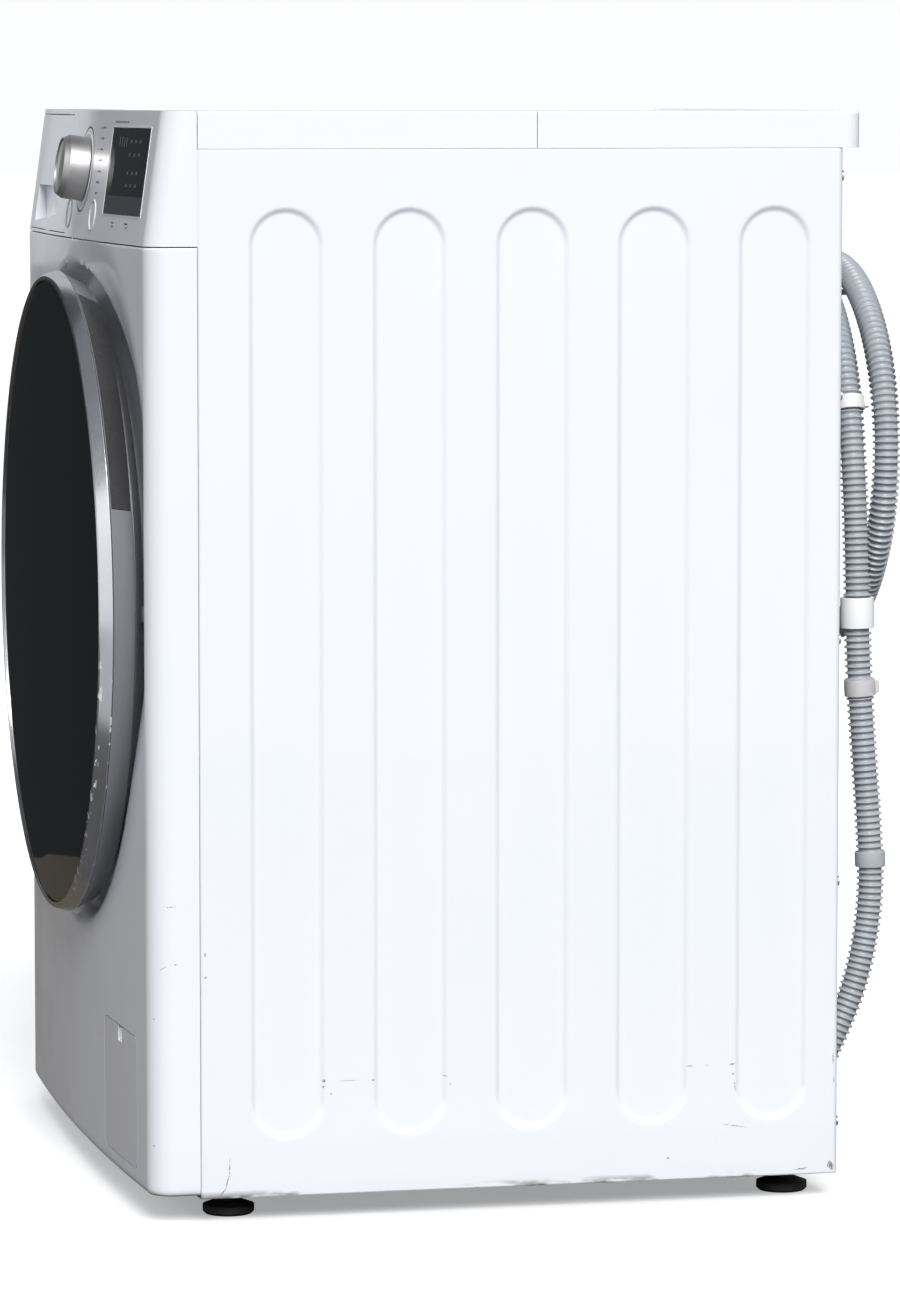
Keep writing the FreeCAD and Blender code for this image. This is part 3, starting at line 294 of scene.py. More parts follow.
def silver_band():
    """Satin silver plating on the door's rim, chipped to the white plastic along its lower right edges."""
    band = Shader("silver_band", (0.72, 0.725, 0.74), 0.2, 1.0)
    down = band.minus(DOOR_Z, band.axis("Z"))
    outward = band.axis("X")
    place = band.times(band.ramp(down, 0.02, 0.07), band.ramp(down, 0.245, 0.2))
    place = band.times(place, band.ramp(outward, 0.05, 0.1))
    y = band.axis("Y")
    front = band.math("ABSOLUTE", band.minus(y, RIM_LOW.y + 1.4 * MM))
    back = band.math("ABSOLUTE", band.minus(y, RIM_HIGH.y))
    edge = band.math("MAXIMUM", band.ramp(front, 2.1 * MM, 0.5 * MM), band.ramp(back, 1.9 * MM, 0.4 * MM))
    edge = band.times(edge, place)
    spots = band.ramp(band.noise(150, 4, band.stretched((1, 1.5, 0.6))), 0.59, 0.615)
    worn = band.math("MULTIPLY", edge, spots, clamp=True)
    brushed = band.noise(420, 3, band.stretched((1, 6, 1)))
    plating = band.tint(band.noise(8, 3), (0.7, 0.71, 0.73), (0.78, 0.785, 0.8))
    band.give("Base Color", band.tint(worn, plating, (0.92, 0.92, 0.93)))
    band.give("Metallic", band.minus(1.0, worn))
    satin = band.ramp(brushed, 0.3, 0.7, 0.15, 0.24)
    band.give("Roughness", band.plus(satin, band.times(worn, 0.3)))
    band.raise_by(band.minus(1.0, worn), 0.00005)
    return band.material


def ring_grey():
    """Grey metallic paint on the ring behind the rim, with fine flakes."""
    ring = Shader("ring_grey", (0.3, 0.3, 0.32), 0.34, 0.35, Coat_Weight=0.3, Coat_Roughness=0.12)
    flakes = ring.cells(2600).outputs["Distance"]
    tone = ring.tint(ring.noise(7, 3), (0.27, 0.27, 0.29), (0.34, 0.34, 0.36))
    ring.give("Base Color", ring.tint(ring.ramp(flakes, 0.1, 0.5), tone, (0.31, 0.31, 0.33)))
    gloss_variation(ring, 0.28, 0.4, 30)
    ring.raise_by(ring.noise(500, 2), 0.000008)
    return ring.material


def dark_glass(name, tone, roughness, strip=None):
    """Black glazing with faint wipe marks; a strip below a height may be a shade lighter."""
    glass = Shader(name, tone, roughness, Specular_IOR_Level=0.5)
    wiped = glass.noise(6, 5, glass.stretched((1.2, 1, 0.35)), 0.65)
    glass.give("Roughness", glass.ramp(wiped, 0.42, 0.75, roughness, roughness * 2.6))
    color = glass.tint(glass.noise(2.2, 2), tone, tuple(part * 1.5 for part in tone))
    if strip:
        lower = glass.ramp(glass.axis("Z"), strip[0] + 0.2 * MM, strip[0] - 0.2 * MM)
        color = glass.tint(lower, color, strip[1])
    glass.give("Base Color", color)
    return glass.material


def clear_glass():
    glass = Shader("door_glass", (0.8, 0.86, 0.86), 0.03, Transmission_Weight=0.85, IOR=1.5)
    glass.raise_by(glass.noise(14, 2), 0.00002)
    gloss_variation(glass, 0.02, 0.07, 8)
    return glass.material


def turned_metal(name, color, roughness, x, z):
    """Aluminium with the fine rings that turning leaves about the knob's own axis."""
    knob = Shader(name, color, roughness, 1.0, Anisotropic=0.3)
    dx = knob.minus(knob.axis("X"), x)
    dz = knob.minus(knob.axis("Z"), z)
    along = knob.add("ShaderNodeCombineXYZ")
    knob.join(knob.length(dx, dz), along.inputs[0])
    knob.join(knob.axis("Y"), along.inputs[1])
    lines = knob.noise(2600, 3, along.outputs[0])
    knob.give("Roughness", knob.ramp(lines, 0.3, 0.7, roughness * 0.88, roughness * 1.15))
    knob.raise_by(lines, 0.000002)
    knob.give("Base Color", knob.tint(knob.noise(60, 3), tuple(part * 0.93 for part in color), color))
    return knob.material


def perforated():
    """Drum sheet: polished stainless with rows of small round holes round its wall, each a bump dimple whose
    middle is painted near black as the shade inside the open hole.
    """
    sheet = Shader("stainless_drum", (0.62, 0.63, 0.64), 0.2, 1.0)
    dz = sheet.minus(sheet.axis("Z"), DOOR_Z)
    angle = sheet.math("ARCTAN2", dz, sheet.axis("X"))
    pitch = 15 * MM
    around = sheet.times(angle, DRUM_RADIUS / pitch)
    along = sheet.math("DIVIDE", sheet.axis("Y"), pitch)
    row = sheet.math("FLOOR", along)
    around = sheet.plus(around, sheet.times(sheet.math("MODULO", row, 2.0), 0.5))
    u = sheet.minus(sheet.math("FRACT", around), 0.5)
    v = sheet.minus(sheet.math("FRACT", along), 0.5)
    far = sheet.length(u, v)
    wall = sheet.ramp(sheet.length(dz, sheet.axis("X")), 0.24, 0.242)
    painted_hole_shade = sheet.times(sheet.ramp(far, 0.13, 0.1), wall)
    dimple = sheet.times(sheet.ramp(far, 0.34, 0.1), wall)
    brushed = sheet.noise(420, 3, sheet.stretched((1, 0.08, 1)))
    # Painted shade: near black dots stand in for the dark inside seen through each hole.
    sheet.give("Base Color", sheet.tint(painted_hole_shade, (0.62, 0.63, 0.64), (0.01, 0.01, 0.01)))
    sheet.give("Roughness", sheet.ramp(brushed, 0.3, 0.7, 0.14, 0.28))
    sheet.raise_by(dimple, -0.0012)
    return sheet.material


def concrete():
    block = Shader("concrete", (0.5, 0.5, 0.48), 0.9)
    block.raise_by(block.noise(160, 6), 0.0006)
    pores = block.cells(260).outputs["Distance"]
    color = block.tint(block.noise(40, 6), (0.42, 0.42, 0.4), (0.58, 0.575, 0.55))
    block.give("Base Color", block.tint(block.ramp(pores, 0.12, 0.05), color, (0.2, 0.2, 0.19)))
    return block.material


def hose_plastic():
    """Grey polypropylene of the corrugated hose, a little mottled."""
    hose = Shader("hose_grey", (0.37, 0.39, 0.43), 0.3)
    hose.give("Base Color", hose.tint(hose.noise(26, 4), (0.33, 0.35, 0.385), (0.42, 0.445, 0.48)))
    gloss_variation(hose, 0.24, 0.4, 60)
    hose.raise_by(hose.noise(800, 2), 0.00002)
    return hose.material


def tie_plastic(name, low, high, see_through):
    tie = Shader(name, low, 0.35, Transmission_Weight=see_through, IOR=1.46)
    tie.give("Base Color", tie.tint(tie.noise(90, 4), low, high))
    tie.raise_by(tie.noise(300, 2), 0.00004)
    gloss_variation(tie, 0.28, 0.5, 50)
    return tie.material


def printed(name, color):
    ink = Shader(name, color, 0.35)
    ink.give("Base Color", ink.tint(ink.noise(900, 3), color, tuple(part * 1.25 + 0.01 for part in color)))
    ink.raise_by(ink.noise(1500, 2), 0.000004)
    return ink.material


# ------------------------ mesh helpers

def linked(name, data):
    """A new object with this data, in the scene."""
    item = bpy.data.objects.new(name, data)
    scene.collection.objects.link(item)
    return item


def add_object(name, bm, body, material, replaced=()):
    """Closes a bmesh into a smooth-shaded piece that rides on a body."""
    mesh = bpy.data.meshes.new(name)
    bm.to_mesh(mesh)
    bm.free()
    mesh.shade_smooth()
    piece = linked(name, mesh)
    mesh.materials.append(material)
    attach(piece, body)
    if replaced:
        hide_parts(*replaced)
    return piece


def even_normals(piece, angle=32):
    """Keeps edges sharper than the angle crisp and gives broad faces the say over the shading."""
    split = piece.modifiers.new("crisp", "EDGE_SPLIT")
    split.split_angle = math.radians(angle)
    split.use_edge_sharp = False
    weighted = piece.modifiers.new("weighted", "WEIGHTED_NORMAL")
    weighted.weight = 80
    return piece


def finish_cad(name, material, round_by):
    """Dresses a CAD node: welded, its edges broken by a small round, smooth shading and a material."""
    piece = nodes[name]
    piece.data.materials.clear()
    piece.data.materials.append(material)
    piece.data.shade_smooth()
    weld = piece.modifiers.new("weld", "WELD")
    weld.merge_threshold = 0.00002
    if round_by:
        bevel = piece.modifiers.new("round", "BEVEL")
        bevel.width = round_by
        bevel.segments = 2
        bevel.limit_method = "ANGLE"
        bevel.angle_limit = math.radians(40)
        bevel.use_clamp_overlap = True
    even_normals(piece)


def rectangle(low, high):
    """The four corners of a rectangle, in order round it."""
    return [(low[0], low[1]), (high[0], low[1]), (high[0], high[1]), (low[0], high[1])]


def steps(low, high, length):
    """Evenly spaced values from low to high, about this far apart."""
    count = max(1, round((high - low) / length))
    return [low + (high - low) * i / count for i in range(count + 1)]


def grid(bm, columns, rows, where):
    """A sheet of quads over columns and rows; where(column, row) gives each point."""
    points = [[bm.verts.new(where(u, v)) for v in rows] for u in columns]
    for left, right in zip(points, points[1:]):
        for i in range(len(rows) - 1):
            bm.faces.new((left[i], right[i], right[i + 1], left[i + 1]))
    return points


def face_towards(bm, way):
    """Turns all the faces of a sheet together so that most of them look this way."""
    bmesh.ops.recalc_face_normals(bm, faces=bm.faces)
    if sum(face.normal.dot(way) for face in bm.faces) < 0:
        bmesh.ops.reverse_faces(bm, faces=bm.faces)


def thicken(piece, wall):
    """Gives a sheet its wall, on the side away from its normals."""
    solid = piece.modifiers.new("wall", "SOLIDIFY")
    solid.thickness = wall
    solid.offset = -1
    return piece


def soft_step(value, low, high):
    share = min(max((value - low) / (high - low), 0.0), 1.0)
    return share * share * (3 - 2 * share)


def soft_max(a, b, blend):
    """The larger of two heights, with a fillet where they meet."""
    share = max(blend - abs(a - b), 0.0) / blend
    return max(a, b) + share * share * blend / 4


def soft_min(a, b, blend):
    return -soft_max(-a, -b, blend)


# ------------------------ side panels

RIB_FIRST, RIB_PITCH, RIB_WIDTH = 0.068, 0.096, 0.054
RIB_BOTTOM, RIB_TOP = 0.0665, 0.775
RIB_DEPTH, RIB_SLOPE = 2.4 * MM, 4.2 * MM


def side_depth(y, z):
    """How far the pressed ribs lie below the flat of a side panel at this place."""
    depth = 0.0
    radius = RIB_WIDTH / 2
    for i in range(5):
        middle = SIDE_LOW.y + RIB_FIRST + RIB_PITCH * i
        centre = min(max(z, RIB_BOTTOM + radius), RIB_TOP - radius)
        away = math.hypot(y - middle, z - centre)
        depth += RIB_DEPTH * soft_step(radius + RIB_SLOPE / 2 - away, 0, RIB_SLOPE)
    return depth


def side_section():
    """Floor plan of a side: front lip, round front edge, flat, wide round rear edge, rear lip."""
    front, rear = SIDE_LOW.y, SIDE_HIGH.y
    front_round, rear_round = 2.2 * MM, 5 * MM
    plan = [(24 * MM, front), (12 * MM, front), (5 * MM, front)]
    for i in range(6):
        turn = math.pi / 2 * i / 5
        plan.append((front_round * (1 - math.sin(turn)), front + front_round * (1 - math.cos(turn))))
    ribs_from = front + RIB_FIRST - RIB_WIDTH / 2 - RIB_SLOPE
    for i in range(5):
        low = ribs_from + RIB_PITCH * i
        high = low + RIB_WIDTH + 2 * RIB_SLOPE
        plan += [(0, y) for y in steps(low, high, 1.5 * MM)]
    plan.insert(9, (0, (front + ribs_from) / 2))
    plan.append((0, (plan[-1][1] + rear - rear_round) / 2))
    for i in range(7):
        turn = math.pi / 2 * i / 6
        plan.append((rear_round * (1 - math.cos(turn)), rear - rear_round * (1 - math.sin(turn))))
    plan += [(9 * MM, rear), (17 * MM, rear)]
    return plan


def side_rows():
    end = RIB_WIDTH / 2 + 2 * RIB_SLOPE
    low, high = SIDE_LOW.z, SIDE_HIGH.z
    rows = [low, low + 0.5 * MM, low + 1.2 * MM, low + 12 * MM, RIB_BOTTOM - 12 * MM]
    rows += steps(RIB_BOTTOM - RIB_SLOPE, RIB_BOTTOM + end, 1.5 * MM)
    rows += steps(RIB_BOTTOM + end + 20 * MM, RIB_TOP - end - 20 * MM, 40 * MM)
    rows += steps(RIB_TOP - end, RIB_TOP + RIB_SLOPE, 1.5 * MM)
    return rows + [RIB_TOP + 18 * MM, high - 2 * MM, high - 1.1 * MM, high]


def side_panel(side, material):
    label = "right" if side > 0 else "left"
    bm = bmesh.new()
    low = SIDE_LOW.z

    def where(column, z):
        inset, y = column
        depth = side_depth(y, z) if inset == 0 else 0.0
        curl = max(low + 1.2 * MM - z, 0) * 0.7 + max(z - SIDE_HIGH.z + 1.1 * MM, 0) * 0.9
        return (side * (HALF - inset - depth - curl), y, z)

    points = grid(bm, side_section(), side_rows(), where)
    flats = [i for i, column in enumerate(side_section()) if column[0] <= 5 * MM]
    edge = [points[i][0] for i in flats]
    tucked = [bm.verts.new((v.co.x - side * 14 * MM, v.co.y, low)) for v in edge]
    for i in range(len(edge) - 1):
        bm.faces.new((edge[i], edge[i + 1], tucked[i + 1], tucked[i]))
    face_towards(bm, Vector((side, 0, 0)))
    replaced = [f"side_panel_{label}"]
    piece = add_object(f"side_{label}_pressing", bm, "cabinet", material, replaced)
    return even_normals(thicken(piece, 0.9 * MM), 45)


# ------------------------ front panel

SEAT_FLOOR = -0.248
SEAT_RADIUS = 0.256
SEAT_START = CROWN_Y - 6 * MM
SEAT_SLOPE = 11 / 30.1
DISH_AT = (0.0966, 0.5108)
DISH_RADIUS = 0.262
DISH_SLOPE = 4.0
DISH_END = 0.278
BOW_BACK = -0.26
MOUTH_RADIUS = 0.195
CORNER_X = HALF - CORNER
CORNER_Y = CROWN_Y + BOW - math.sqrt((BOW - CORNER) ** 2 - CORNER_X ** 2)


def front_plan():
    """The bowed front's floor plan from the left rear edge to the right rear edge, as points."""
    tilt = math.asin(CORNER_X / (BOW - CORNER))
    touch_x = CORNER_X + CORNER * math.sin(tilt)
    right = []
    for i in range(1, 12):
        turn = tilt + (math.pi / 2 - tilt) * i / 11
        right.append((CORNER_X + CORNER * math.sin(turn), CORNER_Y - CORNER * math.cos(turn)))
    right += [(HALF, y) for y in (-0.238, SIDE_LOW.y - 0.4 * MM)]
    front = [(x, CROWN_Y + BOW - math.sqrt(BOW ** 2 - x ** 2)) for x in steps(-touch_x, touch_x, 3 * MM)]
    return [(-x, y) for x, y in reversed(right)] + front + right


def recess(x, z):
    """Depth line of the door seat and the finger dish: the pressing goes in as far as this Y."""
    seat = SEAT_START + (SEAT_RADIUS + 11 * MM - math.hypot(x, z - DOOR_Z)) / SEAT_SLOPE
    dish = SEAT_START + (DISH_RADIUS - math.hypot(x - DISH_AT[0], z - DISH_AT[1])) / DISH_SLOPE
    slope = CROWN_Y + 7 * MM + (DISH_END - x) * 17 / 28
    dish = soft_min(dish, slope, 5 * MM)
    return soft_min(max(seat, dish), SEAT_FLOOR, 6 * MM)


def flap_corner_point(x, z, grow, radius):
    """Nearest point of the flap opening's rounded outline, and whether the place lies inside it."""
    low_x, high_x = FLAP_LOW.x - grow + radius, FLAP_HIGH.x + grow - radius
    low_z, high_z = FLAP_LOW.z - grow + radius, FLAP_HIGH.z + grow - radius
    core_x, core_z = min(max(x, low_x), high_x), min(max(z, low_z), high_z)
    away = math.hypot(x - core_x, z - core_z)
    if away < 1e-9:
        return x, z, True
    return core_x + (x - core_x) * radius / away, core_z + (z - core_z) * radius / away, away < radius


def front_panel(material):
    bm = bmesh.new()
    flap_gap = 0.8 * MM
    flap_radius = 8 * MM + flap_gap
    bottom, top = PANEL_LOW.z, PANEL_HIGH.z
    rows = [bottom, bottom + 0.5 * MM, bottom + 1.5 * MM, bottom + 3 * MM, bottom + 5.5 * MM]
    rows += steps(bottom + 9 * MM, top - 5 * MM, 3 * MM)
    rows += [top - 2.5 * MM, top - 1.2 * MM, top - 0.4 * MM, top]

    def where(column, z):
        x, y = column
        low_round = max(bottom + 5 * MM - z, 0.0)
        high_round = max(top - 1.5 * MM - z, -1.5 * MM)
        back = 5 * MM - math.sqrt(max((5 * MM) ** 2 - low_round ** 2, 0.0)) if low_round else 0.0
        if high_round < 0:
            back += 1.5 * MM - math.sqrt(max((1.5 * MM) ** 2 - high_round ** 2, 0.0))
        if abs(x) > CORNER_X:
            out_x, out_y = abs(x) - CORNER_X, CORNER_Y - y
            reach = math.hypot(out_x, max(out_y, 0.0))
            share = (reach - back) / reach if reach else 1.0
            if y > CORNER_Y:
                return (math.copysign(abs(x) - back, x), y, z)
            return (math.copysign(CORNER_X + out_x * share, x), CORNER_Y - out_y * share, z)
        return (x, soft_max(y + back, recess(x, z), 5 * MM), z)

    grid(bm, front_plan(), rows, where)
    gone = []
    for face in bm.faces:
        centre = face.calc_center_median()
        if math.hypot(centre.x, centre.z - DOOR_Z) < MOUTH_RADIUS:
            gone.append(face)
        elif centre.y < BOW_BACK and flap_corner_point(centre.x, centre.z, flap_gap, flap_radius)[2]:
            gone.append(face)
    bmesh.ops.delete(bm, geom=gone, context="FACES")
    for vert in bm.verts:
        if not vert.is_boundary:
            continue
        away = math.hypot(vert.co.x, vert.co.z - DOOR_Z)
        if away < MOUTH_RADIUS + 8 * MM:
            vert.co.x *= MOUTH_RADIUS / away
            vert.co.z = DOOR_Z + (vert.co.z - DOOR_Z) * MOUTH_RADIUS / away
        elif vert.co.y < BOW_BACK and bottom + 9 * MM < vert.co.z < 0.16 and abs(vert.co.x) < 0.27:
            vert.co.x, vert.co.z, _ = snapped_to_flap(vert.co.x, vert.co.z, flap_gap, flap_radius)
    face_towards(bm, Vector((0, -1, 0)))
    piece = add_object("front_pressing", bm, "cabinet", material, ["front_panel"])
    return even_normals(thicken(piece, 0.9 * MM), 45)


def snapped_to_flap(x, z, grow, radius):
    """A place beside the flap opening moved onto its outline."""
    px, pz, inside = flap_corner_point(x, z, grow, radius)
    if (px, pz) != (x, z):
        return px, pz, inside
    edges = [(abs(x - side), side, z) for side in (FLAP_LOW.x - grow, FLAP_HIGH.x + grow)]
    edges += [(abs(z - side), x, side) for side in (FLAP_LOW.z - grow, FLAP_HIGH.z + grow)]
    _, px, pz = min(edges)
    return px, pz, inside


# ------------------------ drain hose

HOSE_RADIUS = 0.011
HOSE_ROUTE = [
    (0.262, 0.274, 0.092), (0.264, 0.291, 0.128), (0.267, 0.308, 0.174), (0.268, 0.3175, 0.236),
    (0.268, 0.314, 0.300), (0.268, 0.309, 0.360), (0.268, 0.3045, 0.430), (0.268, 0.3035, 0.500),
    (0.266, 0.301, 0.575), (0.246, 0.300, 0.650), (0.195, 0.300, 0.706), (0.122, 0.300, 0.732),
    (0.042, 0.300, 0.708), (-0.014, 0.300, 0.650), (-0.028, 0.301, 0.575), (-0.004, 0.304, 0.500),
    (0.052, 0.311, 0.448), (0.122, 0.318, 0.430),
    (0.196, 0.324, 0.448), (0.250, 0.327, 0.506), (0.270, 0.328, 0.582), (0.249, 0.328, 0.658),
    (0.194, 0.327, 0.712), (0.122, 0.326, 0.732), (0.048, 0.326, 0.711), (-0.004, 0.326, 0.656),
    (-0.026, 0.326, 0.588), (-0.028, 0.326, 0.540),
]


def route_line(route):
    """Points read along the smooth spline of a route."""
    curve = bpy.data.curves.new("route", "CURVE")
    curve.dimensions = "3D"
    spline = curve.splines.new("NURBS")
    spline.points.add(len(route) - 1)
    for point, place in zip(spline.points, route):
        point.co = (*place, 1)
    spline.order_u = 3
    spline.use_endpoint_u = True
    spline.resolution_u = 24
    holder = linked("route", curve)
    bpy.context.view_layer.update()
    mesh = bpy.data.meshes.new_from_object(holder.evaluated_get(bpy.context.evaluated_depsgraph_get()))
    line = [vert.co.copy() for vert in mesh.vertices]
    bpy.data.objects.remove(holder)
    bpy.data.meshes.remove(mesh)
    return line


class Track:
    """A line with its running length and a frame that doesn't twist along it."""

    def __init__(self, line):
        self.line = line
        self.reach = [0.0]
        for a, b in zip(line, line[1:]):
            self.reach.append(self.reach[-1] + (b - a).length)
        self.length = self.reach[-1]
        self.normals = []
        normal = Vector((1, 0, 0))
        for i in range(len(line)):
            ahead = self.way(i)
            normal = (normal - ahead * normal.dot(ahead)).normalized()
            self.normals.append(normal.copy())

    def way(self, i):
        return (self.line[min(i + 1, len(self.line) - 1)] - self.line[max(i - 1, 0)]).normalized()

    def at(self, distance):
        """Place, direction and two normals this far along."""
        distance = min(max(distance, 0.0), self.length)
        i = min(max(bisect_left(self.reach, distance) - 1, 0), len(self.reach) - 2)
        share = (distance - self.reach[i]) / max(self.reach[i + 1] - self.reach[i], 1e-9)
        place = self.line[i].lerp(self.line[i + 1], share)
        way = self.way(i).lerp(self.way(i + 1), share).normalized()
        normal = self.normals[i].lerp(self.normals[i + 1], share)
        normal = (normal - way * normal.dot(way)).normalized()
        return place, way, normal, way.cross(normal)

    def nearest(self, place):
        best = min(range(len(self.line)), key=lambda i: (self.line[i] - place).length)
        return self.reach[best]


def tube(bm, track, profile, sides, wobble=0.0):
    """Rings round the track: the profile is a list of (distance along, radius)."""
    rings = []
    for distance, radius in profile:
        place, _, u, v = track.at(distance)
        ring = []
        for k in range(sides):
            turn = 2 * math.pi * k / sides
            reach = radius * (1 + wobble * math.sin(3 * turn + distance * 70))
            ring.append(bm.verts.new(place + u * math.cos(turn) * reach + v * math.sin(turn) * reach))
        rings.append(ring)
    for a, b in zip(rings, rings[1:]):
        for k in range(sides):
            bm.faces.new((a[k], a[(k + 1) % sides], b[(k + 1) % sides], b[k]))
    return rings


def corrugated_hose(track, material):
    """Hose with narrow round crests, plain for a few millimetres at each end."""
    pitch = 5.1 * MM
    plain = 8 * MM
    crest, valley = HOSE_RADIUS, HOSE_RADIUS - 2.1 * MM
    wave = [(0.0, valley), (0.26, valley + 0.1 * MM), (0.38, crest - 0.5 * MM), (0.46, crest - 0.05 * MM),
            (0.54, crest - 0.05 * MM), (0.62, crest - 0.5 * MM), (0.74, valley + 0.1 * MM)]
    profile = [(0.0, crest - 0.4 * MM), (plain, crest - 0.4 * MM)]
    count = int((track.length - 2 * plain) / pitch)
    for i in range(count):
        profile += [(plain + 0.2 * MM + (i + share) * pitch, radius) for share, radius in wave]
    profile += [(track.length - plain, crest - 0.4 * MM), (track.length, crest - 0.4 * MM)]
    bm = bmesh.new()
    rings = tube(bm, track, profile, 28)
    bm.faces.new(reversed(rings[0]))
    bm.faces.new(rings[-1])
    return add_object("hose_tube", bm, "cabinet", material, ["drain_hose"])


def band(bm, track, place, length, outer, head):
    """A closed band round the hose near a place, with round edges and, on a tie, its locking head."""
    middle = track.nearest(place)
    low, high = middle - length / 2, middle + length / 2
    inner = HOSE_RADIUS + 0.05 * MM
    edge = 0.4 * MM
    profile = [(low, inner), (low, outer - edge), (low + edge, outer), (middle, outer + 0.15 * MM),
               (high - edge, outer), (high, outer - edge), (high, inner)]
    rings = tube(bm, track, profile, 40, 0.006)
    for k in range(40):
        following = (k + 1) % 40
        bm.faces.new((rings[-1][k], rings[-1][following], rings[0][following], rings[0][k]))
    if head:
        at, way, _, _ = track.at(middle)
        out = Vector((0.25, 1, 0)).normalized()
        out = (out - way * out.dot(way)).normalized()
        across = way.cross(out)
        block_at(bm, at + out * (outer + 1.4 * MM), (out, across, way), (1.6 * MM, 2.6 * MM, length * 0.36))


def block_at(bm, centre, axes, half):
    """A small block with broken edges, its half sizes along three axes."""
    made = bmesh.ops.create_cube(bm, size=2)
    for vert in made["verts"]:
        local = vert.co.copy()
        vert.co = centre.copy()
        for axis, share, size in zip(axes, local, half):
            vert.co += axis * share * size
    edges = list({edge for vert in made["verts"] for edge in vert.link_edges})
    bmesh.ops.bevel(bm, geom=edges, offset=min(half) * 0.35, segments=2, affect="EDGES", profile=0.5)


def between(run, share):
    """A place on the straight line from one route point to the next."""
    return Vector(HOSE_ROUTE[run]).lerp(Vector(HOSE_ROUTE[run + 1]), share)


def hose_ties(track):
    """Clear and white ties and the white clip, at the places of their CAD bands."""
    kinds = (
        ("tie_reddish", (5, 0.58), 13 * MM, 12.2 * MM, (0.72, 0.7, 0.7), (0.82, 0.81, 0.82), 0.35, True),
        ("tie_white", (8, 0.62), 10.5 * MM, 12.4 * MM, (0.82, 0.82, 0.8), (0.9, 0.9, 0.88), 0.15, True),
        ("tie_grey", (3, 0.45), 12 * MM, 11.9 * MM, (0.42, 0.45, 0.48), (0.5, 0.53, 0.56), 0.1, False),
        ("clip_white", (6, 0.4), 24 * MM, 13.2 * MM, (0.86, 0.87, 0.88), (0.9, 0.91, 0.92), 0.0, False),
    )
    made = []
    for name, (run, share), length, outer, low, high, clear, head in kinds:
        bm = bmesh.new()
        band(bm, track, between(run, share), length, outer, head)
        bmesh.ops.recalc_face_normals(bm, faces=bm.faces)
        piece = add_object(name, bm, "cabinet", tie_plastic(name, low, high, clear))
        made.append(even_normals(piece, 50))
    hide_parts("hose_ties")
    return made


# ------------------------ control panel marks

def fascia_y(x, z):
    lean = max(z - FASCIA_LOW.z, 0) / (FASCIA_HIGH.z - FASCIA_LOW.z) * FASCIA_LEAN
    return CROWN_Y + x * x / (2 * BOW) + lean


def fascia_sheet(bm, outline, proud):
    """A thin closed patch of ink or moulding on the leaning panel, from (x, z) points."""
    front = [bm.verts.new((x, fascia_y(x, z) - proud, z)) for x, z in outline]
    back = [bm.verts.new((x, fascia_y(x, z) + 0.02 * MM, z)) for x, z in outline]
    bm.faces.new(front)
    bm.faces.new(reversed(back))
    for i in range(len(outline)):
        j = (i + 1) % len(outline)
        bm.faces.new((front[j], front[i], back[i], back[j]))


def bar(bm, x, z, width, height, proud=0.06 * MM):
    fascia_sheet(bm, rectangle((x, z), (x + width, z + height)), proud)


def fascia_ring(bm, x, z, radius, half_width, proud, sides=72, start=0.0, sweep=2 * math.pi):
    """A raised round-topped ring, or a stretch of one, on the leaning panel."""
    knee, foot = half_width * 0.7, -0.02 * MM
    shape = [(-half_width, foot), (-knee, proud * 0.75), (0, proud), (knee, proud * 0.75), (half_width, foot)]
    whole = abs(sweep - 2 * math.pi) < 1e-6
    rings = []
    for k in range(sides + (0 if whole else 1)):
        turn = start + sweep * k / sides
        ring = []
        for out, lift in shape:
            px, pz = x + (radius + out) * math.cos(turn), z + (radius + out) * math.sin(turn)
            ring.append(bm.verts.new((px, fascia_y(px, pz) - lift, pz)))
        rings.append(ring)
    last = len(rings) if whole else len(rings) - 1
    for k in range(last):
        a, b = rings[k], rings[(k + 1) % len(rings)]
        for i in range(len(shape)):
            j = (i + 1) % len(shape)
            bm.faces.new((a[i], a[j], b[j], b[i]))
    if not whole:
        bm.faces.new(rings[0])
        bm.faces.new(reversed(rings[-1]))


def add_marks(name, bm, material):
    bmesh.ops.recalc_face_normals(bm, faces=bm.faces)
    even_normals(add_object(name, bm, "cabinet", material), 60)


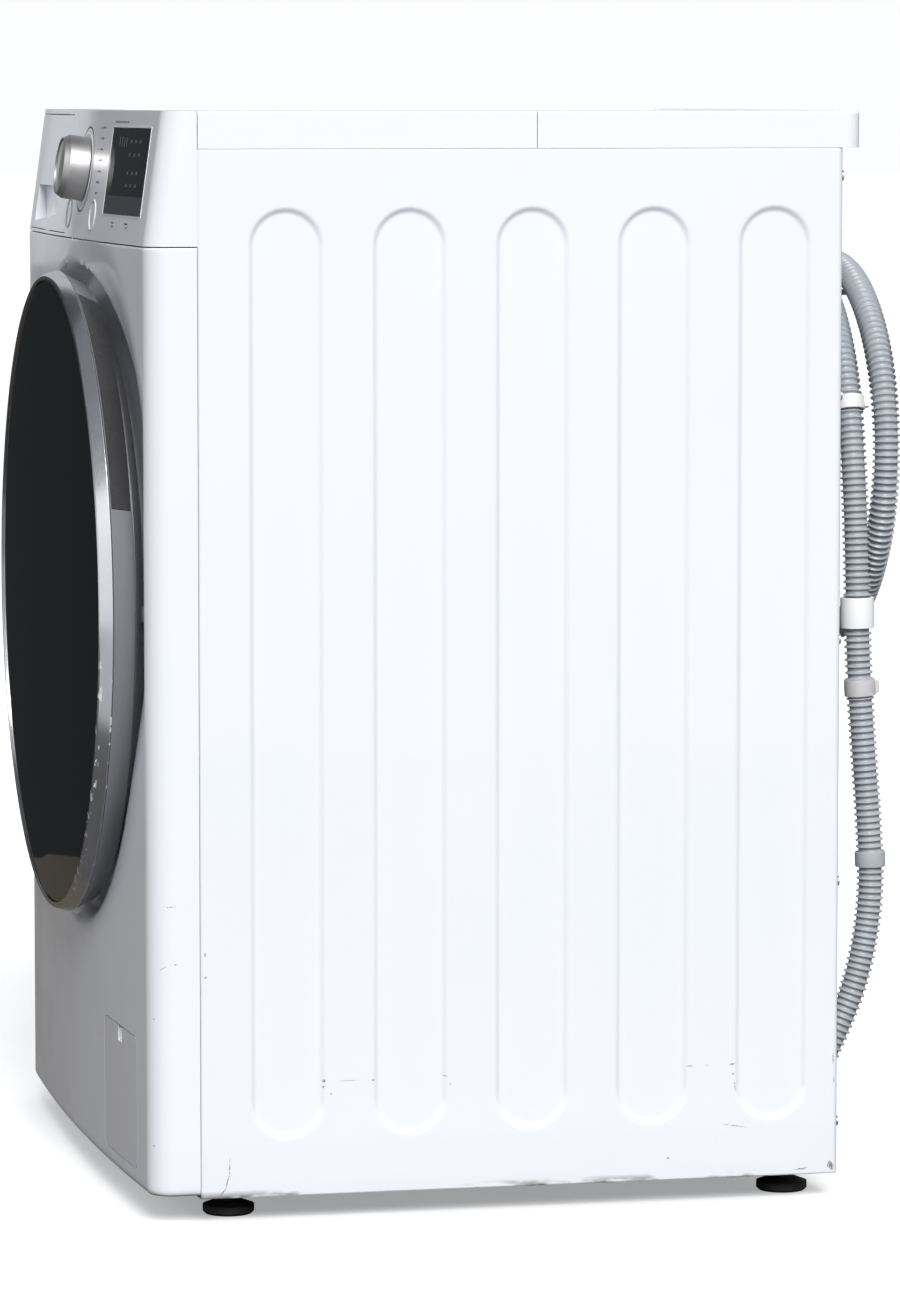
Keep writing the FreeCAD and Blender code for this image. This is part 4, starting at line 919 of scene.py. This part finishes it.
def panel_marks():
    """Plain bars, dots and rings in place of the printed words and signs; the dark ring round the knob is
    painted shade standing in for the groove at its foot.
    """
    # Dark ink for the print, also used for the painted groove shade round the knob.
    dark = printed("ink_and_groove_shade", (0.07, 0.073, 0.08))
    pale = printed("ink_pale", (0.13, 0.135, 0.14))
    bm = bmesh.new()
    for row, width in enumerate((9, 6.5, 8, 7, 9.5, 8, 6)):
        z = DISPLAY_HIGH.z - 1 * MM - row * 8.6 * MM
        bar(bm, 0.0745, z, width * MM, 1.5 * MM)
        bar(bm, 0.0745 + (width + 1.4) * MM, z, 3 * MM, 1.5 * MM)
        if row < 5:
            fascia_ring(bm, 0.0665, z + 0.55 * MM, 0.8 * MM, 0.35 * MM, 0.06 * MM, 16)
    for x in (0.124, 0.131, 0.139, 0.147, 0.156, 0.163, 0.172):
        bar(bm, x, 0.8405, 5.2 * MM, 1.3 * MM)
    for x in (0.157, 0.209):
        bar(bm, x, 0.7628, 11 * MM, 1.2 * MM)
        bar(bm, x + 3 * MM, 0.7600, 7 * MM, 0.9 * MM)
    # Painted shade: a thin dark ring standing in for the shadowed groove round the knob's foot.
    fascia_ring(bm, KNOB_AT[0], KNOB_AT[1], 33.4 * MM, 0.8 * MM, 0.1 * MM, 120)
    for side in range(3):
        turn = math.radians(50 * side - 10)
        fascia_ring(bm, -0.105 + 5 * MM * side, 0.822, 1.4 * MM, 0.35 * MM, 0.06 * MM, 24, turn, math.pi)
    add_marks("panel_marks", bm, dark)
    bm = bmesh.new()
    for row in (0.826, 0.816, 0.802, 0.7925):
        for column in range(3):
            x = 0.193 + 0.0165 * column
            bar(bm, x, row - 1.1 * MM, 1.3 * MM, 2.6 * MM)
            bar(bm, x + 3.2 * MM, row - 1.1 * MM, 1.3 * MM, 2.6 * MM)
    for column in range(4):
        bar(bm, 0.152 + 0.0085 * column, 0.822, 1.2 * MM, 7.5 * MM)
    add_marks("display_marks", bm, pale)


def button_rims(material):
    """Raised rims round the two push buttons and at the knob's foot."""
    bm = bmesh.new()
    for x in (START_X, POWER_X):
        fascia_ring(bm, x, BUTTON_Z, 11.6 * MM, 1.0 * MM, 0.75 * MM, 72)
    fascia_ring(bm, KNOB_AT[0], KNOB_AT[1], 28.2 * MM, 0.8 * MM, 0.35 * MM, 96)
    add_marks("button_rims", bm, material)


def display_frame(material):
    """Thin bright lip round the display."""
    bm = bmesh.new()
    out, width = 1.1 * MM, 1.0 * MM
    x0, x1, z0, z1 = DISPLAY_LOW.x - out, DISPLAY_HIGH.x + out, DISPLAY_LOW.z - out, DISPLAY_HIGH.z + out
    columns = steps(x0, x1, 12 * MM)
    for x_low, x_high in zip(columns, columns[1:]):
        for z in (z0, z1 - width):
            fascia_sheet(bm, rectangle((x_low, z), (x_high, z + width)), 0.3 * MM)
    for x in (x0, x1 - width):
        fascia_sheet(bm, rectangle((x, z0 + width), (x + width, z1 - width)), 0.3 * MM)
    bmesh.ops.remove_doubles(bm, verts=bm.verts, dist=0.00001)
    add_marks("display_lip", bm, material)


# ------------------------ dressing the CAD nodes

METALS = (
    ("cast_aluminium", (0.42, 0.42, 0.43), (0.55, 0.55, 0.56), 0.5, (1, 1, 1), 300, 0.00006),
    ("steel", (0.4, 0.4, 0.41), (0.55, 0.55, 0.56), 0.3, (1, 8, 1)),
    ("zinc", (0.55, 0.56, 0.58), (0.66, 0.66, 0.66), 0.32, (1, 1, 1), 260),
    ("stainless", (0.58, 0.58, 0.59), (0.66, 0.66, 0.67), 0.22, (1, 6, 1)),
)
MOULDINGS = (
    ("black_plastic", (0.018, 0.018, 0.02), (0.035, 0.035, 0.038), 0.45),
    ("grey_plastic", (0.2, 0.205, 0.215), (0.26, 0.265, 0.275), 0.45),
    ("tub_plastic", (0.42, 0.43, 0.44), (0.52, 0.53, 0.54), 0.5, 300, 0.00005),
    ("black_rubber", (0.012, 0.012, 0.012), (0.03, 0.03, 0.03), 0.75, 500, 0.00004),
    ("seal_rubber", (0.34, 0.35, 0.36), (0.42, 0.43, 0.44), 0.6, 350, 0.00003),
    ("grip_dark", (0.035, 0.034, 0.036), (0.06, 0.058, 0.06), 0.26, 900, 0.000006),
)


def dress_nodes():
    """Gives every visible CAD node its material and its small rounds."""
    plastic = white_plastic()
    strip = (STRIP_TOP, (0.07, 0.072, 0.078))
    materials = {
        "galvanised": galvanised(), "white_plastic": plastic, "silver_band": silver_band(),
        "ring_grey": ring_grey(), "laminate": laminate(), "door_glass": clear_glass(), "concrete": concrete(),
        "door_lens": dark_glass("door_lens", (0.006, 0.0062, 0.0062), 0.02),
        "display_glass": dark_glass("display_glass", (0.007, 0.007, 0.008), 0.02, strip),
        "knob_silver": turned_metal("knob_silver", (0.5, 0.49, 0.49), 0.45, *KNOB_AT),
        "knob_glass": dark_glass("knob_glass", (0.24, 0.26, 0.245), 0.06),
    }
    for name, *look in METALS:
        materials[name] = metal(name, *look)
    for name, *look in MOULDINGS:
        materials[name] = moulded(name, *look)
    rounds = {
        "top_trim_front": 0.4, "top_trim_rear": 0.4, "control_fascia": 0.35, "drawer_front": 0.5,
        "service_flap": 1.1, "start_button": 0.3, "power_button": 0.3, "display_window": 0.25,
        "door_rim": 0.25, "door_ring": 0.25, "knob": 0.3, "hose_hook": 0.8, "hose_end": 0.6,
        "rear_grommets": 0.6, "door_grip": 0.3, "hinge_bracket": 0.5, "rear_fasteners": 0.4, "base_tray": 0.6,
    }
    for name, slot in slot_of.items():
        if nodes[name].hide_render:
            continue
        material = perforated() if name == "drum" else materials[slot]
        finish_cad(name, material, rounds.get(name, 0) * MM)
    return plastic


# ------------------------ stage, light and camera

def stage_sheet(name, corners, material):
    mesh = bpy.data.meshes.new(name)
    mesh.from_pydata(corners, [], [tuple(range(len(corners)))])
    sheet = linked(name, mesh)
    mesh.materials.append(material)
    return sheet


def glow(name, color, strength=1.0):
    material = empty_material(name)
    tree = material.node_tree
    light = tree.nodes.new("ShaderNodeEmission")
    light.inputs["Color"].default_value = (*color, 1)
    light.inputs["Strength"].default_value = strength
    output = tree.nodes.new("ShaderNodeOutputMaterial")
    tree.links.new(light.outputs[0], output.inputs[0])
    return material


def floor_and_surround():
    """A pale floor for the camera, a darker one that bounces the light, and a white surround."""
    far = 60.0
    corners = rectangle((-far, -far), (far, far))
    own_light = {"Emission_Color": (0.98, 0.99, 1.0, 1.0), "Emission_Strength": 0.34}
    pale = Shader("floor", (0.9, 0.9, 0.905), 0.7, **own_light)
    pale.give("Base Color", pale.tint(pale.noise(3, 3), (0.89, 0.895, 0.9), (0.9, 0.905, 0.91)))
    floor = stage_sheet("floor", [(x, y, 0) for x, y in corners], pale.material)
    floor.visible_diffuse = False
    floor.visible_glossy = False
    bounce = Shader("bounce", (0.3, 0.29, 0.28), 0.8)
    bounce.give("Base Color", bounce.tint(bounce.noise(3, 3), (0.28, 0.27, 0.26), (0.32, 0.31, 0.3)))
    lower = stage_sheet("floor_bounce", [(x, y, -0.004) for x, y in corners], bounce.material)
    lower.visible_camera = False
    lower.visible_shadow = False
    bm = bmesh.new()
    bmesh.ops.create_icosphere(bm, subdivisions=4, radius=far * 0.98)
    mesh = bpy.data.meshes.new("surround")
    bm.to_mesh(mesh)
    bm.free()
    dome = linked("surround", mesh)
    mesh.materials.append(glow("surround", (0.985, 0.99, 1.0)))
    for rays in ("diffuse", "glossy", "shadow", "transmission"):
        setattr(dome, f"visible_{rays}", False)


CARD_REACH = 1.6
CARD_TOP = 3.0
ROOM_SIDE = 3.2
ROOM_FRONT = -3.4


def ahead(distance, degrees, height):
    """A place to the left of the machine: turned this far from -X towards -Y, seen from the door."""
    turn = math.radians(degrees)
    return (-distance * math.cos(turn), -0.28 - distance * math.sin(turn), height)


def gloss_card(name, corners, material):
    """A studio card that shows in shiny surfaces and lights nothing."""
    sheet = stage_sheet(name, corners, material)
    for rays in ("camera", "diffuse", "shadow", "transmission"):
        setattr(sheet, f"visible_{rays}", False)


def cards():
    """What the shiny surfaces reflect: dark cards before the front, a brown floor, a pale room beside it."""
    left, middle, right, split = 2, 8.6, 70, 0.68
    outline = []
    for step in range(46):
        height = 0.034 + 0.008 * math.sin(step * 1.3) + 0.004 * math.sin(step * 3.1)
        outline.append(ahead(CARD_REACH, left + step * 1.5, height))
    outline += [ahead(CARD_REACH, turn, z) for turn, z in ((right, 0.03), (right, split), (left, split))]
    gloss_card("card_front", outline, glow("card_dark", (0.03, 0.032, 0.034)))
    for name, start, end, low, color in (
        ("card_upper_left", left, middle, split, (0.6, 0.62, 0.66)),
        ("card_upper", middle, right, split, (0.07, 0.075, 0.085)),
        ("card_behind", -40, 1.6, 0.1, (0.5, 0.51, 0.54)),
    ):
        places = rectangle((start, low), (end, CARD_TOP))
        gloss_card(name, [ahead(CARD_REACH, turn, z) for turn, z in places], glow(name, color))
    places = rectangle((0.05, -30), (3.4, 75))
    brown = glow("card_brown", (0.125, 0.11, 0.09))
    gloss_card("card_floor", [ahead(reach, turn, 0.004) for reach, turn in places], brown)
    light = glow("card_light", (0.95, 0.97, 1.0), 0.9)
    places = rectangle((ROOM_FRONT, 0.02), (2.4, 3.4))
    gloss_card("card_side", [(ROOM_SIDE, y, z) for y, z in places], light)
    places = rectangle((-0.4, 0.02), (ROOM_SIDE, 2.6))
    gloss_card("card_corner", [(x, ROOM_FRONT, z) for x, z in places], light)
    places = rectangle((0.6, ROOM_FRONT), (ROOM_SIDE, 2.4))
    pale = glow("card_pale", (0.5, 0.51, 0.53))
    gloss_card("card_side_floor", [(x, y, 0.004) for x, y in places], pale)


def lamp(name, kind, energy, place, target, **settings):
    data = bpy.data.lights.new(name, kind)
    data.energy = energy
    for key, value in settings.items():
        setattr(data, key, value)
    item = linked(name, data)
    item.location = place
    item.rotation_euler = (Vector(target) - Vector(place)).to_track_quat("-Z", "Y").to_euler()
    item.visible_camera = False
    item.visible_glossy = name != "front_fill"


def lights():
    """A weak sky, a soft sun from the right and wide lamps that fill the other sides."""
    world = bpy.data.worlds.new("soft_light")
    scene.world = world
    world.use_nodes = True
    sky = world.node_tree.nodes["Background"]
    sky.inputs["Color"].default_value = (0.9, 0.94, 1.0, 1)
    sky.inputs["Strength"].default_value = 0.24
    lamp("sun", "SUN", 3.3, (4.8, -0.3, 3.6), (0, 0, 0), angle=math.radians(30))
    for name, energy, place, target, width, height in (
        ("overhead", 16, (1.8, 0.2, 3.0), (0.2, 0, 0.6), 2.6, 2.2),
        ("rear_fill", 20, (-0.6, 3.4, 2.0), (0, 0.2, 0.5), 2.4, 1.8),
        ("front_fill", 38, (-2.0, -3.0, 1.7), (0, 0, 0.5), 2.4, 1.8),
        ("left_fill", 14, (-3.6, 0.9, 2.2), (0, 0, 0.5), 2.4, 1.8),
    ):
        lamp(name, "AREA", energy, place, target, shape="RECTANGLE", size=width, size_y=height)


def camera():
    """The view from the right, almost square on to the side, a little above the middle."""
    data = bpy.data.cameras.new("camera")
    data.sensor_width = 36
    data.lens = 160.6
    item = linked("camera", data)
    item.location = (4.6481, -1.0154, 0.8628)
    yaw, down = math.radians(77.234), math.radians(5.486)
    look = Vector((-math.sin(yaw) * math.cos(down), math.cos(yaw) * math.cos(down), -math.sin(down)))
    item.rotation_euler = look.to_track_quat("-Z", "Y").to_euler()
    scene.camera = item


# ------------------------ build

SIDE_MARKS = [
    ((-0.129, 0.1083), (1.5 * MM, 1.2 * MM), 0), ((-0.1292, 0.1035), (0.7 * MM, 1.0 * MM), 0),
    ((-0.1235, 0.098), (0.9 * MM, 0.8 * MM), 0), ((-0.0905, 0.1077), (1.1 * MM, 0.8 * MM), 0),
    ((-0.11, 0.1079), (9 * MM, 0.22 * MM), 0.02),
    ((-0.0338, 0.1087), (1.8 * MM, 0.4 * MM), -0.2), ((-0.0298, 0.1023), (2 * MM, 0.4 * MM), -0.3),
    ((0.1618, 0.1092), (3 * MM, 0.4 * MM), 0), ((0.175, 0.1094), (2.4 * MM, 0.22 * MM), 0),
    ((0.1957, 0.1095), (2 * MM, 0.9 * MM), 0.1), ((0.1966, 0.1016), (0.8 * MM, 1.1 * MM), 0),
    ((0.1982, 0.0921), (0.4 * MM, 4 * MM), 0.1),
    ((0.198, 0.0608), (10 * MM, 0.35 * MM), -0.17), ((0.1444, 0.0374), (1.1 * MM, 0.8 * MM), 0),
    ((-0.2028, 0.044), (0.45 * MM, 6.5 * MM), -0.05), ((-0.2046, 0.033), (0.45 * MM, 6 * MM), -0.25),
    ((-0.2085, 0.0245), (0.45 * MM, 4.6 * MM), -0.75), ((-0.2214, 0.209), (0.6 * MM, 2.2 * MM), 0),
    ((-0.2212, 0.1913), (1.3 * MM, 1.1 * MM), 0), ((0.2522, 0.0245), (4.6 * MM, 0.8 * MM), 0.1),
    ((0.2762, 0.026), (2.4 * MM, 4.2 * MM), 0.5), ((0.2778, 0.1112), (0.5 * MM, 4.6 * MM), 0),
    ((0.2784, 0.0946), (0.5 * MM, 2.6 * MM), 0.1),
]
FRONT_MARKS = [
    ((-0.2478, 0.2464), (3.6 * MM, 0.4 * MM), 0.12), ((-0.254, 0.199), (3.2 * MM, 0.35 * MM), 0.55),
    ((-0.2442, 0.2022), (1.1 * MM, 0.6 * MM), 0), ((-0.2598, 0.1599), (0.6 * MM, 0.5 * MM), 0),
    ((-0.2603, 0.0618), (0.6 * MM, 0.6 * MM), 0),
]

side_panel(1, painted_steel("paint_right", SIDE_MARKS))
side_panel(-1, painted_steel("paint_left"))
front_panel(painted_steel("paint_front", FRONT_MARKS, grime=False, shine=0.32, coat=0.05, smooth=0.13))
hose_track = Track(route_line(HOSE_ROUTE))
hose = corrugated_hose(hose_track, hose_plastic())
ties = hose_ties(hose_track)
white = dress_nodes()
panel_marks()
button_rims(white)
display_frame(white)
floor_and_surround()
cards()
lights()
camera()
scene.view_settings.view_transform = "Standard"
